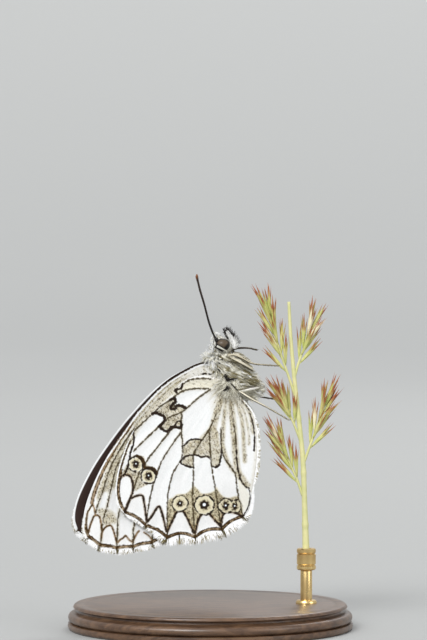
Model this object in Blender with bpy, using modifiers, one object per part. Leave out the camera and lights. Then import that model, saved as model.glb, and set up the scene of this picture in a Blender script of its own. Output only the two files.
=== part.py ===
"""A marbled white butterfly at rest, head up and wings closed over its back, on a cut
length of flowering grass that a small turned stand holds up.

Lengths are in millimetres until place() turns them into metres. Most places are given
from the root of the hindwing: p towards the belly, q towards the head, and y away from
the plane that the closed wings meet in, the insect's right side being at -y. The part's
own frame has +X towards the belly, +Z up and its origin under the middle of the base.
"""

import math

import bmesh
import bpy
from mathutils import Matrix, Vector

MM = 0.001

# Driving dimensions
FOREWING_LENGTH = 25.8
HINGE_X = 2.0
HINGE_Z = 29.5
SHEET = 0.5
GAP = 0.06
BASE_RADIUS = 17.0
BASE_HEIGHT = 3.0

# The shapes below are for a forewing of this length, and grow with it.
DRAWN_LENGTH = 25.8
GROWTH = FOREWING_LENGTH / DRAWN_LENGTH


def place(p, y, q):
    """The point p towards the belly, y sideways and q towards the head of the wing root, in metres."""
    return Vector((HINGE_X + GROWTH * p, GROWTH * y, HINGE_Z + GROWTH * q)) * MM


def smoothstep(x):
    x = min(max(x, 0.0), 1.0)
    return x * x * (3.0 - 2.0 * x)


def catmull_rom(points, steps=12):
    """Points on a smooth line through the given ones."""
    points = [Vector(point) for point in points]
    ends = [2 * points[0] - points[1], *points, 2 * points[-1] - points[-2]]
    line = []
    for a, b, c, d in zip(ends, ends[1:], ends[2:], ends[3:]):
        for step in range(steps):
            t = step / steps
            line.append(
                0.5
                * (
                    2 * b
                    + (c - a) * t
                    + (2 * a - 5 * b + 4 * c - d) * t**2
                    + (3 * b - a - 3 * c + d) * t**3
                )
            )
    return [*line, points[-1]]


def spaced(points, count):
    """count points, evenly spaced, on a smooth line through the given ones."""
    line = catmull_rom(points)
    reach = [0.0]
    for a, b in zip(line, line[1:]):
        reach.append(reach[-1] + (b - a).length)
    found, k = [], 0
    for n in range(count):
        wanted = reach[-1] * n / (count - 1)
        while k < len(line) - 2 and reach[k + 1] < wanted:
            k += 1
        share = (wanted - reach[k]) / max(reach[k + 1] - reach[k], 1e-9)
        found.append(line[k].lerp(line[k + 1], min(share, 1.0)))
    return found


# ---------------------------------------------------------------- scene and materials

for old in list(bpy.data.objects):
    bpy.data.objects.remove(old)

model = bpy.data.collections.new("marbled_white")
bpy.context.scene.collection.children.link(model)
cutters = bpy.data.collections.new("cutters")
bpy.context.scene.collection.children.link(cutters)


def material(name, colour, roughness, metallic=0.0):
    made = bpy.data.materials.new(name)
    made.use_nodes = True
    shader = made.node_tree.nodes["Principled BSDF"]
    shader.inputs["Base Color"].default_value = (*colour, 1.0)
    shader.inputs["Roughness"].default_value = roughness
    shader.inputs["Metallic"].default_value = metallic
    return made


WING = material("wing", (0.85, 0.84, 0.79), 0.7)
FUR = material("fur", (0.62, 0.60, 0.52), 0.9)
PALP = material("palp", (0.80, 0.80, 0.80), 0.9)
EYE = material("eye", (0.10, 0.06, 0.035), 0.25)
ANTENNA = material("antenna", (0.035, 0.028, 0.022), 0.5)
LEG = material("leg", (0.62, 0.56, 0.44), 0.6)
GRASS = material("grass", (0.46, 0.50, 0.17), 0.7)
WOOD = material("base_wood", (0.13, 0.075, 0.04), 0.4)
BRASS = material("brass", (0.78, 0.57, 0.25), 0.3, 1.0)


def add(name, mesh, finish, smooth=True):
    """An object for one piece of the model."""
    piece = bpy.data.objects.new(name, mesh)
    model.objects.link(piece)
    mesh.materials.clear()
    mesh.materials.append(finish)
    if smooth:
        mesh.shade_smooth()
        mesh.set_sharp_from_angle(angle=math.radians(45))
    return piece


def make_cutter(name, mesh):
    """A hidden shape that a Boolean uses."""
    piece = bpy.data.objects.new(name, mesh)
    cutters.objects.link(piece)
    piece.hide_render = True
    piece.display_type = "WIRE"
    return piece


def boolean(piece, operation, other, crossing=False):
    step = piece.modifiers.new(f"{operation.lower()}_{other.name}", "BOOLEAN")
    step.operation = operation
    step.solver = "EXACT"
    step.use_self = crossing
    step.object = other


# ---------------------------------------------------------------- shared shapes


def tube_mesh(name, points, radii, bevel_resolution=2):
    """A round bar through the points, in metres, whose radius in millimetres varies with the point."""
    curve = bpy.data.curves.new(name, "CURVE")
    curve.dimensions = "3D"
    curve.bevel_depth = MM
    curve.bevel_resolution = bevel_resolution
    curve.use_fill_caps = True
    spline = curve.splines.new("POLY")
    spline.points.add(len(points) - 1)
    for knot, point, radius in zip(spline.points, points, radii):
        knot.co = (*point, 1.0)
        knot.radius = radius
    guide = bpy.data.objects.new(name, curve)
    bpy.context.scene.collection.objects.link(guide)
    graph = bpy.context.evaluated_depsgraph_get()
    mesh = bpy.data.meshes.new_from_object(guide.evaluated_get(graph))
    bpy.data.objects.remove(guide)
    shape = bmesh.new()
    shape.from_mesh(mesh)
    bmesh.ops.remove_doubles(shape, verts=shape.verts, dist=0.001 * MM)
    shape.to_mesh(mesh)
    shape.free()
    return mesh


def radius_along(profile, count):
    """count radii, read evenly from a profile of (share of the length, radius) pairs."""
    radii = []
    for n in range(count):
        share = n / (count - 1)
        for (a, low), (b, high) in zip(profile, profile[1:]):
            if share <= b + 1e-9:
                radii.append(low + (high - low) * smoothstep((share - a) / (b - a)))
                break
    return radii


def tube_along(name, points, profile, count):
    """A tube on a smooth line through (p, y, q) points, with the radius profile given."""
    line = [place(*point) for point in spaced(points, count)]
    return tube_mesh(name, line, [GROWTH * r for r in radius_along(profile, count)])


# ---------------------------------------------------------------- body

# Stations of the body, coat included: (q, middle in p, half depth in p, half width in y).
BODY = (
    (5.85, -0.80, 0.35, 0.35),
    (5.50, -0.75, 0.85, 0.80),
    (5.00, -0.60, 1.25, 1.10),
    (4.40, -0.50, 1.50, 1.22),
    (3.90, -0.50, 1.45, 1.12),
    (3.45, -0.68, 1.35, 1.00),
    (3.00, -0.75, 2.15, 1.30),
    (2.40, -0.40, 2.55, 1.60),
    (1.60, 0.15, 2.65, 1.75),
    (0.60, 0.65, 2.85, 1.80),
    (-0.40, 1.05, 3.05, 1.70),
    (-1.20, 1.45, 2.65, 1.50),
    (-1.80, 1.60, 1.90, 1.25),
    (-2.20, 1.45, 1.32, 1.12),
    (-3.50, 1.55, 1.35, 1.15),
    (-5.50, 1.70, 1.38, 1.15),
    (-8.00, 1.95, 1.25, 1.05),
    (-10.0, 2.20, 1.00, 0.85),
    (-11.4, 2.40, 0.60, 0.50),
    (-12.0, 2.45, 0.22, 0.20),
)
NECK_Q = 3.45
WAIST_Q = -2.20


def body_station(q):
    """Middle, half depth and half width of the body at the level q, straight between stations."""
    for (high, *above), (low, *below) in zip(BODY, BODY[1:]):
        if q >= low - 1e-9:
            share = (high - q) / (high - low)
            return [a + (b - a) * share for a, b in zip(above, below)]
    return list(BODY[-1][1:])


def body_slice(name, top, bottom, levels, around, grow=0.0):
    """The body between two levels: a cylinder's rings set to the stations, as a closed mesh."""
    shape = bmesh.new()
    bmesh.ops.create_grid(shape, x_segments=around, y_segments=levels, size=0.5)
    for vert in shape.verts:
        turn = 2 * math.pi * (vert.co.x + 0.5)
        q = top + (bottom - top) * (vert.co.y + 0.5)
        middle, depth, width = body_station(q)
        ends = grow * (1 if q > top - 1e-6 else -1 if q < bottom + 1e-6 else 0)
        vert.co = place(
            middle + (depth + grow) * math.cos(turn), (width + grow) * math.sin(turn), q + ends
        )
    bmesh.ops.remove_doubles(shape, verts=shape.verts, dist=0.001 * MM)
    bmesh.ops.holes_fill(shape, edges=[edge for edge in shape.edges if edge.is_boundary])
    bmesh.ops.recalc_face_normals(shape, faces=shape.faces)
    mesh = bpy.data.meshes.new(name)
    shape.to_mesh(mesh)
    shape.free()
    return mesh


TOP_Q = BODY[0][0]
TAIL_Q = BODY[-1][0]
head = add("head", body_slice("head", TOP_Q, NECK_Q + GAP / 2, 8, 20), FUR)
add("thorax", body_slice("thorax", NECK_Q - GAP / 2, WAIST_Q + GAP / 2, 12, 22), FUR)
add("abdomen", body_slice("abdomen", WAIST_Q - GAP / 2, TAIL_Q, 11, 18), FUR)
clear_of_body = make_cutter("clear_of_body", body_slice("clear_of_body", TOP_Q, TAIL_Q, 32, 28, GAP))


# ---------------------------------------------------------------- eyes

EYE_PLACE = (-0.50, 0.80, 4.42)
EYE_RADII = (0.84, 0.70, 0.76)


def ball(name, middle, radii, grow=0.0):
    """An egg shape from a sphere, its poles facing sideways."""
    shape = bmesh.new()
    bmesh.ops.create_uvsphere(shape, u_segments=16, v_segments=9, radius=1.0)
    turned = Matrix.Rotation(math.pi / 2, 4, "X")
    stretched = Matrix.Diagonal([GROWTH * (r + grow) * MM for r in radii] + [1.0])
    bmesh.ops.transform(shape, matrix=stretched @ turned, verts=shape.verts)
    bmesh.ops.translate(shape, vec=place(*middle), verts=shape.verts)
    mesh = bpy.data.meshes.new(name)
    shape.to_mesh(mesh)
    shape.free()
    return mesh


for side, sign in (("right", -1), ("left", 1)):
    middle = (EYE_PLACE[0], sign * EYE_PLACE[1], EYE_PLACE[2])
    add(f"eye_{side}", ball(f"eye_{side}", middle, EYE_RADII), EYE)
    socket = make_cutter(f"socket_{side}", ball(f"socket_{side}", middle, EYE_RADII, GAP))
    boolean(head, "DIFFERENCE", socket)


# ---------------------------------------------------------------- palps and antennae

PALP_LINE = ((0.95, 0.38, 3.95), (1.10, 0.40, 4.70), (0.62, 0.38, 5.45), (0.00, 0.34, 6.35))
PALP_RADII = ((0.0, 0.34), (0.6, 0.36), (1.0, 0.25))
ANTENNA_LINE = (
    (-1.25, 0.42, 4.85),
    (-1.75, 1.05, 5.95),
    (-2.20, 1.80, 7.20),
    (-2.72, 3.20, 9.20),
    (-3.25, 4.80, 11.00),
    (-3.65, 5.90, 12.70),
)
ANTENNA_RADII = ((0.0, 0.25), (0.78, 0.25), (0.93, 0.34), (1.0, 0.25))

for side, sign in (("right", -1), ("left", 1)):
    for kind, line, radii, count, finish in (
        ("palp", PALP_LINE, PALP_RADII, 7, PALP),
        ("antenna", ANTENNA_LINE, ANTENNA_RADII, 14, ANTENNA),
    ):
        name = f"{kind}_{side}"
        points = [(p, sign * y, q) for p, y, q in line]
        piece = add(name, tube_along(name, points, radii, count), finish)
        boolean(piece, "DIFFERENCE", clear_of_body)
        boolean(piece, "DIFFERENCE", bpy.data.objects[f"socket_{side}"])


# ---------------------------------------------------------------- wings

# Each outline runs from the front of the root round the tip to the back of the root,
# and takes in the fringe of hair scales.
FOREWING_ROOT = ((-1.30, 1.85), (-0.95, 0.90))
FOREWING_OUTLINE = (
    (-1.90, 2.30),
    (-3.30, 2.28),
    (-5.25, 1.40),
    (-7.20, 0.20),
    (-9.25, -1.70),
    (-11.70, -4.78),
    (-13.73, -7.91),
    (-15.40, -10.95),
    (-16.65, -13.95),
    (-17.20, -16.10),
    (-17.32, -17.75),
    (-16.95, -19.05),
    (-15.60, -20.20),
    (-13.20, -20.70),
    (-11.00, -20.50),
    (-8.80, -20.00),
    (-6.40, -18.90),
    (-4.20, -17.50),
    (-2.50, -15.20),
    (-1.60, -11.80),
    (-1.15, -8.00),
    (-0.80, -4.50),
    (-0.70, -1.20),
    (-0.78, 0.40),
)
HINDWING_ROOT = ((-0.45, 0.15), (0.35, -0.50))
HINDWING_OUTLINE = (
    (-1.20, 0.48),
    (-2.60, 0.85),
    (-4.30, 0.58),
    (-5.80, -0.28),
    (-7.50, -1.75),
    (-9.30, -3.50),
    (-10.90, -5.35),
    (-12.00, -7.70),
    (-12.75, -9.80),
    (-13.20, -11.80),
    (-13.30, -13.40),
    (-13.00, -14.90),
    (-11.90, -16.20),
    (-10.20, -17.20),
    (-8.80, -18.40),
    (-7.30, -19.45),
    (-5.50, -19.35),
    (-3.70, -19.25),
    (-2.00, -19.00),
    (-0.60, -18.70),
    (0.90, -18.00),
    (2.30, -16.85),
    (3.10, -15.50),
    (3.30, -13.90),
    (3.25, -12.40),
    (3.55, -10.60),
    (3.72, -8.50),
    (3.70, -6.30),
    (3.50, -4.80),
    (3.05, -3.50),
    (2.10, -2.20),
    (1.05, -1.10),
)
WING_RAYS = 28
WING_RINGS = 7
FOREWING_Y = 0.15 + SHEET / 2
HINDWING_Y = FOREWING_Y + SHEET + 0.10
BULGE = 0.55
FAR_WING_PIVOT = Vector((-4.0, 1.6))
FAR_WING_TURN = math.radians(3.9)


def bulge(p, q):
    """How far the wings stand further apart where the body lies between them."""
    beside_body = smoothstep((p + 5.5) / 5.5)
    above_tail = smoothstep((q + 17.5) / 6.0)
    return BULGE * beside_body * above_tail


def wing_mesh(name, root, outline, layer, sign, turn):
    """A ruled sheet from the root's edge to the outline, turned and given its thickness."""
    roots = [Vector(root[0]).lerp(Vector(root[1]), n / (WING_RAYS - 1)) for n in range(WING_RAYS)]
    tips = spaced(outline, WING_RAYS)
    shape = bmesh.new()
    bmesh.ops.create_grid(shape, x_segments=WING_RAYS - 1, y_segments=WING_RINGS, size=0.5)
    for vert in shape.verts:
        ray = round((vert.co.x + 0.5) * (WING_RAYS - 1))
        spot = roots[ray].lerp(tips[ray], (vert.co.y + 0.5) ** 0.8)
        spot = FAR_WING_PIVOT + Matrix.Rotation(turn, 2) @ (spot - FAR_WING_PIVOT)
        away = layer - SHEET / 2 + bulge(*spot)
        vert.co = place(spot.x, sign * away, spot.y)
    drawn = bmesh.ops.extrude_face_region(shape, geom=shape.faces[:])["geom"]
    sideways = place(0, sign * SHEET, 0) - place(0, 0, 0)
    bmesh.ops.translate(shape, vec=sideways, verts=[v for v in drawn if isinstance(v, bmesh.types.BMVert)])
    bmesh.ops.recalc_face_normals(shape, faces=shape.faces)
    mesh = bpy.data.meshes.new(name)
    shape.to_mesh(mesh)
    shape.free()
    return mesh


for side, sign in (("right", -1), ("left", 1)):
    for kind, root, outline, layer in (
        ("forewing", FOREWING_ROOT, FOREWING_OUTLINE, FOREWING_Y),
        ("hindwing", HINDWING_ROOT, HINDWING_OUTLINE, HINDWING_Y),
    ):
        name = f"{kind}_{side}"
        turn = -FAR_WING_TURN if name == "forewing_left" else 0.0
        wing = add(name, wing_mesh(name, root, outline, layer, sign, turn), WING)
        boolean(wing, "DIFFERENCE", clear_of_body)


# ---------------------------------------------------------------- legs

# Femur from the chest to the knee, then shin and foot from the knee to the toe, as (p, y, q).
LEGS = {
    "midleg_right": (
        ((3.00, -1.10, 1.50), (1.60, -1.95, 2.20), (0.05, -2.00, 2.95)),
        ((0.05, -2.00, 2.95), (1.60, -1.95, 2.98), (3.10, -1.50, 2.22), (4.70, -0.95, 2.02), (6.10, -0.55, 1.92)),
    ),
    "midleg_left": (
        ((2.90, 1.10, 1.60), (1.70, 1.95, 2.50), (0.45, 2.00, 3.45)),
        ((0.45, 2.00, 3.45), (1.60, 1.70, 4.00), (2.70, 1.00, 4.02), (3.75, 0.70, 3.72)),
    ),
    "hindleg_right": (
        ((3.80, -0.75, -0.62), (2.60, -1.85, -0.80), (1.40, -2.20, -1.05)),
        ((1.40, -2.20, -1.05), (3.00, -2.05, -2.05), (4.60, -1.50, -2.92), (6.00, -0.95, -3.75), (7.35, -0.50, -4.55)),
    ),
    "hindleg_left": (
        ((3.80, 0.75, -0.62), (2.60, 1.85, -0.80), (1.40, 2.20, -1.05)),
        ((1.40, 2.20, -1.05), (2.80, 1.95, -1.60), (4.20, 1.30, -1.92), (5.75, 0.78, -2.15)),
    ),
}
FEMUR_RADII = ((0.0, 0.32), (0.5, 0.34), (1.0, 0.26))
SHIN_RADII = ((0.0, 0.27), (0.5, 0.26), (1.0, 0.25))
FORELEG_LINE = ((0.75, 0.95, 3.30), (1.60, 0.85, 3.10), (2.50, 0.70, 2.45))
FORELEG_RADII = ((0.0, 0.28), (0.6, 0.30), (1.0, 0.25))

for name, (femur, shin) in LEGS.items():
    leg = add(name, tube_along(name, femur, FEMUR_RADII, 5), LEG)
    lower = make_cutter(f"{name}_shin", tube_along(f"{name}_shin", shin, SHIN_RADII, 11))
    boolean(leg, "UNION", lower)
    boolean(leg, "DIFFERENCE", clear_of_body)
for side, sign in (("right", -1), ("left", 1)):
    name = f"foreleg_{side}"
    points = [(p, sign * y, q) for p, y, q in FORELEG_LINE]
    leg = add(name, tube_along(name, points, FORELEG_RADII, 6), LEG)
    boolean(leg, "DIFFERENCE", clear_of_body)


# ---------------------------------------------------------------- perch of grass

STEM_LINE = (
    (9.45, 0.0, -21.40),
    (9.25, 0.0, -15.00),
    (9.05, 0.0, -9.50),
    (8.55, 0.0, -4.50),
    (8.00, 0.0, 0.50),
    (7.60, 0.0, 5.00),
    (7.35, 0.0, 9.50),
)
STEM_RADII = ((0.0, 0.48), (0.2, 0.38), (0.6, 0.31), (1.0, 0.25))
# Side branches: the line of each, where along it the spikelets start, how many there are, and
# the first one's place round the branch in degrees.
BRANCHES = {
    "perch_branch_1": (
        ((8.35, 0.0, -2.60), (7.60, 0.0, -0.20), (6.85, 0.0, 2.00), (5.90, 0.0, 4.90), (5.00, 0.0, 8.00)),
        0.34, 14, 0,
    ),
    "perch_branch_2": (
        ((8.80, 0.0, -7.20), (8.10, -0.1, -5.40), (7.45, -0.1, -3.90), (7.00, -0.3, -2.90)),
        0.45, 8, 160,
    ),
    "perch_branch_3": (
        ((9.00, 0.0, -13.60), (8.30, 0.2, -11.60), (7.45, 0.3, -9.70), (6.50, 0.3, -7.60)),
        0.22, 12, 0,
    ),
    "perch_branch_4": (
        ((9.05, 0.0, -10.00), (9.90, -0.1, -7.60), (10.80, -0.1, -5.20), (11.60, 0.0, -2.90)),
        0.26, 12, 180,
    ),
    "perch_branch_5": (
        ((8.00, 0.0, 0.40), (8.55, 0.1, 2.30), (9.20, 0.1, 4.10), (9.80, 0.0, 6.00)),
        0.26, 10, 180,
    ),
}
BRANCH_RADII = ((0.0, 0.26), (1.0, 0.25))
SPIKELET_LENGTH = 4.6
SPIKELET_RADIUS = 0.32
SPIKELET_SPREAD = 21
SPIKELET_LEAN = 13
GOLDEN_ANGLE = 137.5


def spikelet(shape, start, along):
    """A slim spindle, widest a third of the way up, added to a bmesh."""
    rings = ((0.0, 0.45), (0.35, 1.0), (1.0, 0.16))
    turn = Vector((0, 0, 1)).rotation_difference(along).to_matrix()
    for (low, low_r), (high, high_r) in zip(rings, rings[1:]):
        middle = start + along * (GROWTH * SPIKELET_LENGTH * MM * (low + high) / 2)
        bmesh.ops.create_cone(
            shape,
            cap_ends=True,
            segments=4,
            radius1=GROWTH * SPIKELET_RADIUS * MM * low_r,
            radius2=GROWTH * SPIKELET_RADIUS * MM * high_r,
            depth=GROWTH * SPIKELET_LENGTH * MM * (high - low),
            matrix=Matrix.Translation(middle) @ turn.to_4x4(),
        )


def weld_rings(shape):
    """Joins the stacked cones of each spindle and drops the walls between them."""
    bmesh.ops.remove_doubles(shape, verts=shape.verts, dist=0.002 * MM)
    inside = [face for face in shape.faces if all(len(edge.link_faces) > 2 for edge in face.edges)]
    bmesh.ops.delete(shape, geom=inside, context="FACES_ONLY")


stem = add("perch_stem", tube_along("perch_stem", STEM_LINE, STEM_RADII, 12), GRASS)
clear_of_stem = make_cutter(
    "clear_of_stem",
    tube_along("clear_of_stem", STEM_LINE, [(share, r + GAP) for share, r in STEM_RADII], 12),
)
for name, (line, first, count, start_turn) in BRANCHES.items():
    branch = add(name, tube_along(name, line, BRANCH_RADII, 7), GRASS)
    fine = [place(*point) for point in spaced(line, 51)]
    shape = bmesh.new()
    for n in range(count):
        k = min(round((first + (1 - first) * n / (count - 1)) * 50), 49)
        around = math.radians(start_turn + GOLDEN_ANGLE * n)
        closing = 1.15 - 0.6 * n / (count - 1)
        heading = (fine[k + 1] - fine[k]).normalized()
        heading.rotate(Matrix.Rotation(-math.radians(SPIKELET_SPREAD * closing * math.cos(around)), 3, "Y"))
        heading.rotate(Matrix.Rotation(math.radians(SPIKELET_LEAN * closing * math.sin(around)), 3, "X"))
        spikelet(shape, fine[k], heading)
    weld_rings(shape)
    mesh = bpy.data.meshes.new(f"{name}_spikelets")
    shape.to_mesh(mesh)
    shape.free()
    boolean(branch, "UNION", make_cutter(f"{name}_spikelets", mesh), crossing=True)
    boolean(branch, "DIFFERENCE", clear_of_stem)


# ---------------------------------------------------------------- display stand

ROD_RADIUS = 0.70
COLLAR_RADIUS = 1.15
COLLAR_HEIGHT = 2.6
EDGE_ROUND = 0.5


def cylinder(name, x, bottom, top, radius, finish, edge=0.0, sides=32):
    """A standing round bar from bottom to top, in the part's frame, with rounded rims."""
    shape = bmesh.new()
    bmesh.ops.create_cone(
        shape,
        cap_ends=True,
        segments=sides,
        radius1=radius * MM,
        radius2=radius * MM,
        depth=(top - bottom) * MM,
        matrix=Matrix.Translation(Vector((x, 0.0, (bottom + top) / 2)) * MM),
    )
    mesh = bpy.data.meshes.new(name)
    shape.to_mesh(mesh)
    shape.free()
    piece = add(name, mesh, finish)
    if edge:
        rounded = piece.modifiers.new("rim", "BEVEL")
        rounded.width = edge * MM
        rounded.segments = 2
        rounded.limit_method = "ANGLE"
    return piece


stem_foot = place(*STEM_LINE[0])
FOOT_X = stem_foot.x / MM
FOOT_Z = stem_foot.z / MM
cylinder("stand_base", 0.0, 0.0, BASE_HEIGHT, BASE_RADIUS, WOOD, EDGE_ROUND, 44)
cylinder("stand_rod", FOOT_X, BASE_HEIGHT + GAP, FOOT_Z - GAP, ROD_RADIUS, BRASS, 0.0, 20)
collar = cylinder("stand_collar", FOOT_X, FOOT_Z - 1.1, FOOT_Z - 1.1 + COLLAR_HEIGHT, COLLAR_RADIUS, BRASS, 0.0, 20)
bore = cylinder("collar_bore", FOOT_X, FOOT_Z - 3.0, FOOT_Z + 3.0, ROD_RADIUS + GAP, BRASS, 0.0, 20)
model.objects.unlink(bore)
cutters.objects.link(bore)
bore.hide_render = True
bore.display_type = "WIRE"
boolean(collar, "DIFFERENCE", bore)
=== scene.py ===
"""The looks of a marbled white butterfly at rest on a cut stem of grass, held by a small display stand.

Places on the insect are in millimetres from the root of the hindwing: p towards the belly, q towards
the head, and y away from the plane that the closed wings meet in, its right side at -y. place() turns
them into the frame's metres. Plain numbers in comments are millimetres.
"""

import math

import bmesh
import bpy
import numpy as np
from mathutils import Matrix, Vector


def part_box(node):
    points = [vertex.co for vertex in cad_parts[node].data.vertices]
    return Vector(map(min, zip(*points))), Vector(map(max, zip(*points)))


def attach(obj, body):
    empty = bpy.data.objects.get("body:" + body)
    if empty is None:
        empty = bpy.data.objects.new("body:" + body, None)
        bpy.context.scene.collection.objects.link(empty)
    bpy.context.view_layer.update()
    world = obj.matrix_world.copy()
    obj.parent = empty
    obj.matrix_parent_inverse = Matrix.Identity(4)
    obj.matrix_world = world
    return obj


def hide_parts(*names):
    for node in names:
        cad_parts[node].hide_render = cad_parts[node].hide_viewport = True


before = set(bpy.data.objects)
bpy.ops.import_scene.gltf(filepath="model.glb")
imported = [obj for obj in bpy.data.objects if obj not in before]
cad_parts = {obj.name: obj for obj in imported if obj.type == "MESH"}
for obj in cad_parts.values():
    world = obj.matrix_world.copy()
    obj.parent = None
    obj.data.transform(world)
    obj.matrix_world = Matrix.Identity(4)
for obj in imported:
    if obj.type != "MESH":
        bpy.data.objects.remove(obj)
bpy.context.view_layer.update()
rng = np.random.default_rng(7)

# ---------------------------------------------------------------- wings
# Each wing is a dry membrane, held out by veins and tiled with scales. The undersides show: white, with
# thin brown lines, olive dusting and eyespots. The hindwings lie outside the forewings.

SIDES = (("right", -1), ("left", 1))
# The life-size hindwing, in metres: how wide it is, and its root's reach from its front and below its top.
WING_WIDTH, ROOT_REACH, ROOT_DROP = 0.01698, 0.01327, 0.00082
wing_low, wing_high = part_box("hindwing_right")
GROWTH = (wing_high.x - wing_low.x) / WING_WIDTH
ROOT = np.array([wing_low.x + ROOT_REACH * GROWTH, 0.0, wing_high.z - ROOT_DROP * GROWTH])


def stacked(p, y, q):
    """Rows of (p, y, q), where each is an array or one number for all."""
    return np.stack(np.broadcast_arrays(p, y, q), -1)


def millimetres(sizes):
    """The insect's millimetres as lengths in the frame's metres."""
    return 1e-3 * GROWTH * np.asarray(sizes, float)


def place(p, y, q):
    """The frame's metres for a place in the insect's millimetres: the root's place plus (p, y, q)."""
    return ROOT + millimetres(stacked(p, y, q))


def unit(ways):
    """Ways of any length made one long: w / |w|."""
    return ways / np.linalg.norm(ways, axis=-1, keepdims=True)


def smooth_line(points, steps=10):
    """Catmull-Rom: 0.5 (2b + (c-a)t + (2a-5b+4c-d)t^2 + (3b-a-3c+d)t^3) between b and c."""
    k = np.array(points, float)
    k = np.vstack([2 * k[0] - k[1], k, 2 * k[-1] - k[-2]])
    a, b, c, d = k[:-3], k[1:-2], k[2:-1], k[3:]
    t = np.linspace(0, 1, steps, endpoint=False)[:, None, None]
    line = 0.5 * (2 * b + (c - a) * t + (2 * a - 5 * b + 4 * c - d) * t**2 + (3 * b - a - 3 * c + d) * t**3)
    return np.vstack([line.transpose(1, 0, 2).reshape(-1, k.shape[1]), k[-2]])


def smooth_loop(points):
    """smooth_line's curve through points and back to the first of them."""
    return smooth_line([*points, points[0]], 4)[:-1]


def spaced(line, count):
    """Points evenly spaced along a line: its coordinates by the length walked, read at even lengths."""
    reach = np.append(0, np.linalg.norm(np.diff(line, axis=0), axis=1).cumsum())
    wanted = np.linspace(0, reach[-1], count)
    return np.stack([np.interp(wanted, reach, axis) for axis in line.T], -1)


def smoothstep(x):
    """x^2 (3 - 2x), with x held between 0 and 1."""
    x = np.clip(x, 0, 1)
    return x * x * (3 - 2 * x)


def nearest(spots, line):
    """Each spot's nearest place on a line: a + clamp((s-a).(b-a) / |b-a|^2) (b-a), at its nearest stretch."""
    a, ab = line[:-1], np.diff(line, axis=0)
    to = spots[:, None] - a
    share = np.clip((to * ab).sum(-1) / np.maximum((ab**2).sum(-1), 1e-12), 0, 1)
    apart = np.linalg.norm(to - share[..., None] * ab, axis=-1)
    best = apart.argmin(1)
    rows = np.arange(len(spots))
    return a[best] + share[rows, best, None] * ab[best], apart[rows, best]


# Distances are measured up to this where no longer reach is asked for.
FAR = 1.6


def distance_to(spots, line, reach=FAR):
    """Each spot's distance to a line, or reach where it is further off than that."""
    near = ((spots > line.min(0) - reach) & (spots < line.max(0) + reach)).all(1)
    found = np.full(len(spots), reach)
    if near.any():
        found[near] = np.minimum(nearest(spots[near], line)[1], reach)
    return found


def inside(spots, loop):
    """Whether a level line to the right of each spot crosses the closed loop an odd number of times."""
    a, b = loop, np.roll(loop, -1, 0)
    level = spots[:, None, 1]
    crosses = (a[:, 1] > level) != (b[:, 1] > level)
    rise = np.where(b[:, 1] == a[:, 1], 1e-9, b[:, 1] - a[:, 1])
    right = spots[:, None, 0] < a[:, 0] + (level - a[:, 1]) * (b[:, 0] - a[:, 0]) / rise
    return (crosses & right).sum(1) % 2 == 1


def depth_in(spots, loop):
    """How deep each spot lies inside a closed loop; below nought outside it."""
    near = ((spots > loop.min(0) - 1) & (spots < loop.max(0) + 1)).all(1)
    found = np.full(len(spots), -1.0)
    if near.any():
        apart = nearest(spots[near], np.vstack([loop, loop[:1]]))[1]
        found[near] = np.where(inside(spots[near], loop), apart, -apart)
    return found


# The width of a wing's grid cells. The cells are tested in blocks, to spare memory.
CELL = 0.1
BLOCKS = 20


def fill_outline(outline):
    """A square grid over a closed outline: cells whose middle lies inside it, rim corners moved onto it."""
    low, high = outline.min(0) - CELL, outline.max(0) + CELL
    grid = np.stack(np.meshgrid(np.arange(low[0], high[0], CELL), np.arange(low[1], high[1], CELL)), -1)
    middles = ((grid[:-1, :-1] + grid[1:, 1:]) / 2).reshape(-1, 2)
    kept = np.concatenate([inside(part, outline) for part in np.array_split(middles, BLOCKS)])
    index = np.arange(grid[..., 0].size).reshape(grid.shape[:2])
    quads = np.stack([index[:-1, :-1], index[:-1, 1:], index[1:, 1:], index[1:, :-1]], -1)
    used, faces = np.unique(quads.reshape(-1, 4)[kept], return_inverse=True)
    faces = faces.reshape(-1, 4)
    spots = grid.reshape(-1, 2)[used]
    edges = np.concatenate([faces[:, [k, (k + 1) % 4]] for k in range(4)])
    _, first, count = np.unique(np.sort(edges, 1), axis=0, return_index=True, return_counts=True)
    rim = edges[first[count == 1]]
    corners = np.unique(rim)
    spots[corners] = nearest(spots[corners], np.vstack([outline, outline[:1]]))[0]
    return spots, faces, rim


def mesh_object(name, points, faces, materials, replaces=(), values=None, face_material=None, uv=None):
    """A piece of the model from points and equal-sided faces, with per-point values as attributes."""
    points = np.asarray(points, float).reshape(-1, 3)
    faces = np.asarray(faces)
    mesh = bpy.data.meshes.new(name)
    mesh.vertices.add(len(points))
    mesh.vertices.foreach_set("co", points.ravel())
    mesh.loops.add(faces.size)
    mesh.loops.foreach_set("vertex_index", faces.ravel().astype(np.int32))
    mesh.polygons.add(len(faces))
    mesh.polygons.foreach_set("loop_start", np.arange(len(faces), dtype=np.int32) * faces.shape[1])
    if face_material is not None:
        mesh.polygons.foreach_set("material_index", np.asarray(face_material, np.int32))
    mesh.update(calc_edges=True)
    for key, value in (values or {}).items():
        layer = mesh.attributes.new(key, "FLOAT", "POINT")
        layer.data.foreach_set("value", np.asarray(value, np.float32).ravel())
    if uv is not None:
        layer = mesh.uv_layers.new(name="OFBake")
        layer.uv.foreach_set("vector", np.asarray(uv, np.float32)[faces.ravel()].ravel())
    mesh.shade_smooth()
    piece = bpy.data.objects.new(name, mesh)
    bpy.context.scene.collection.objects.link(piece)
    for material in materials:
        mesh.materials.append(material)
    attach(piece, "root")
    if replaces:
        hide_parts(*replaces)
    return piece


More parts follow.
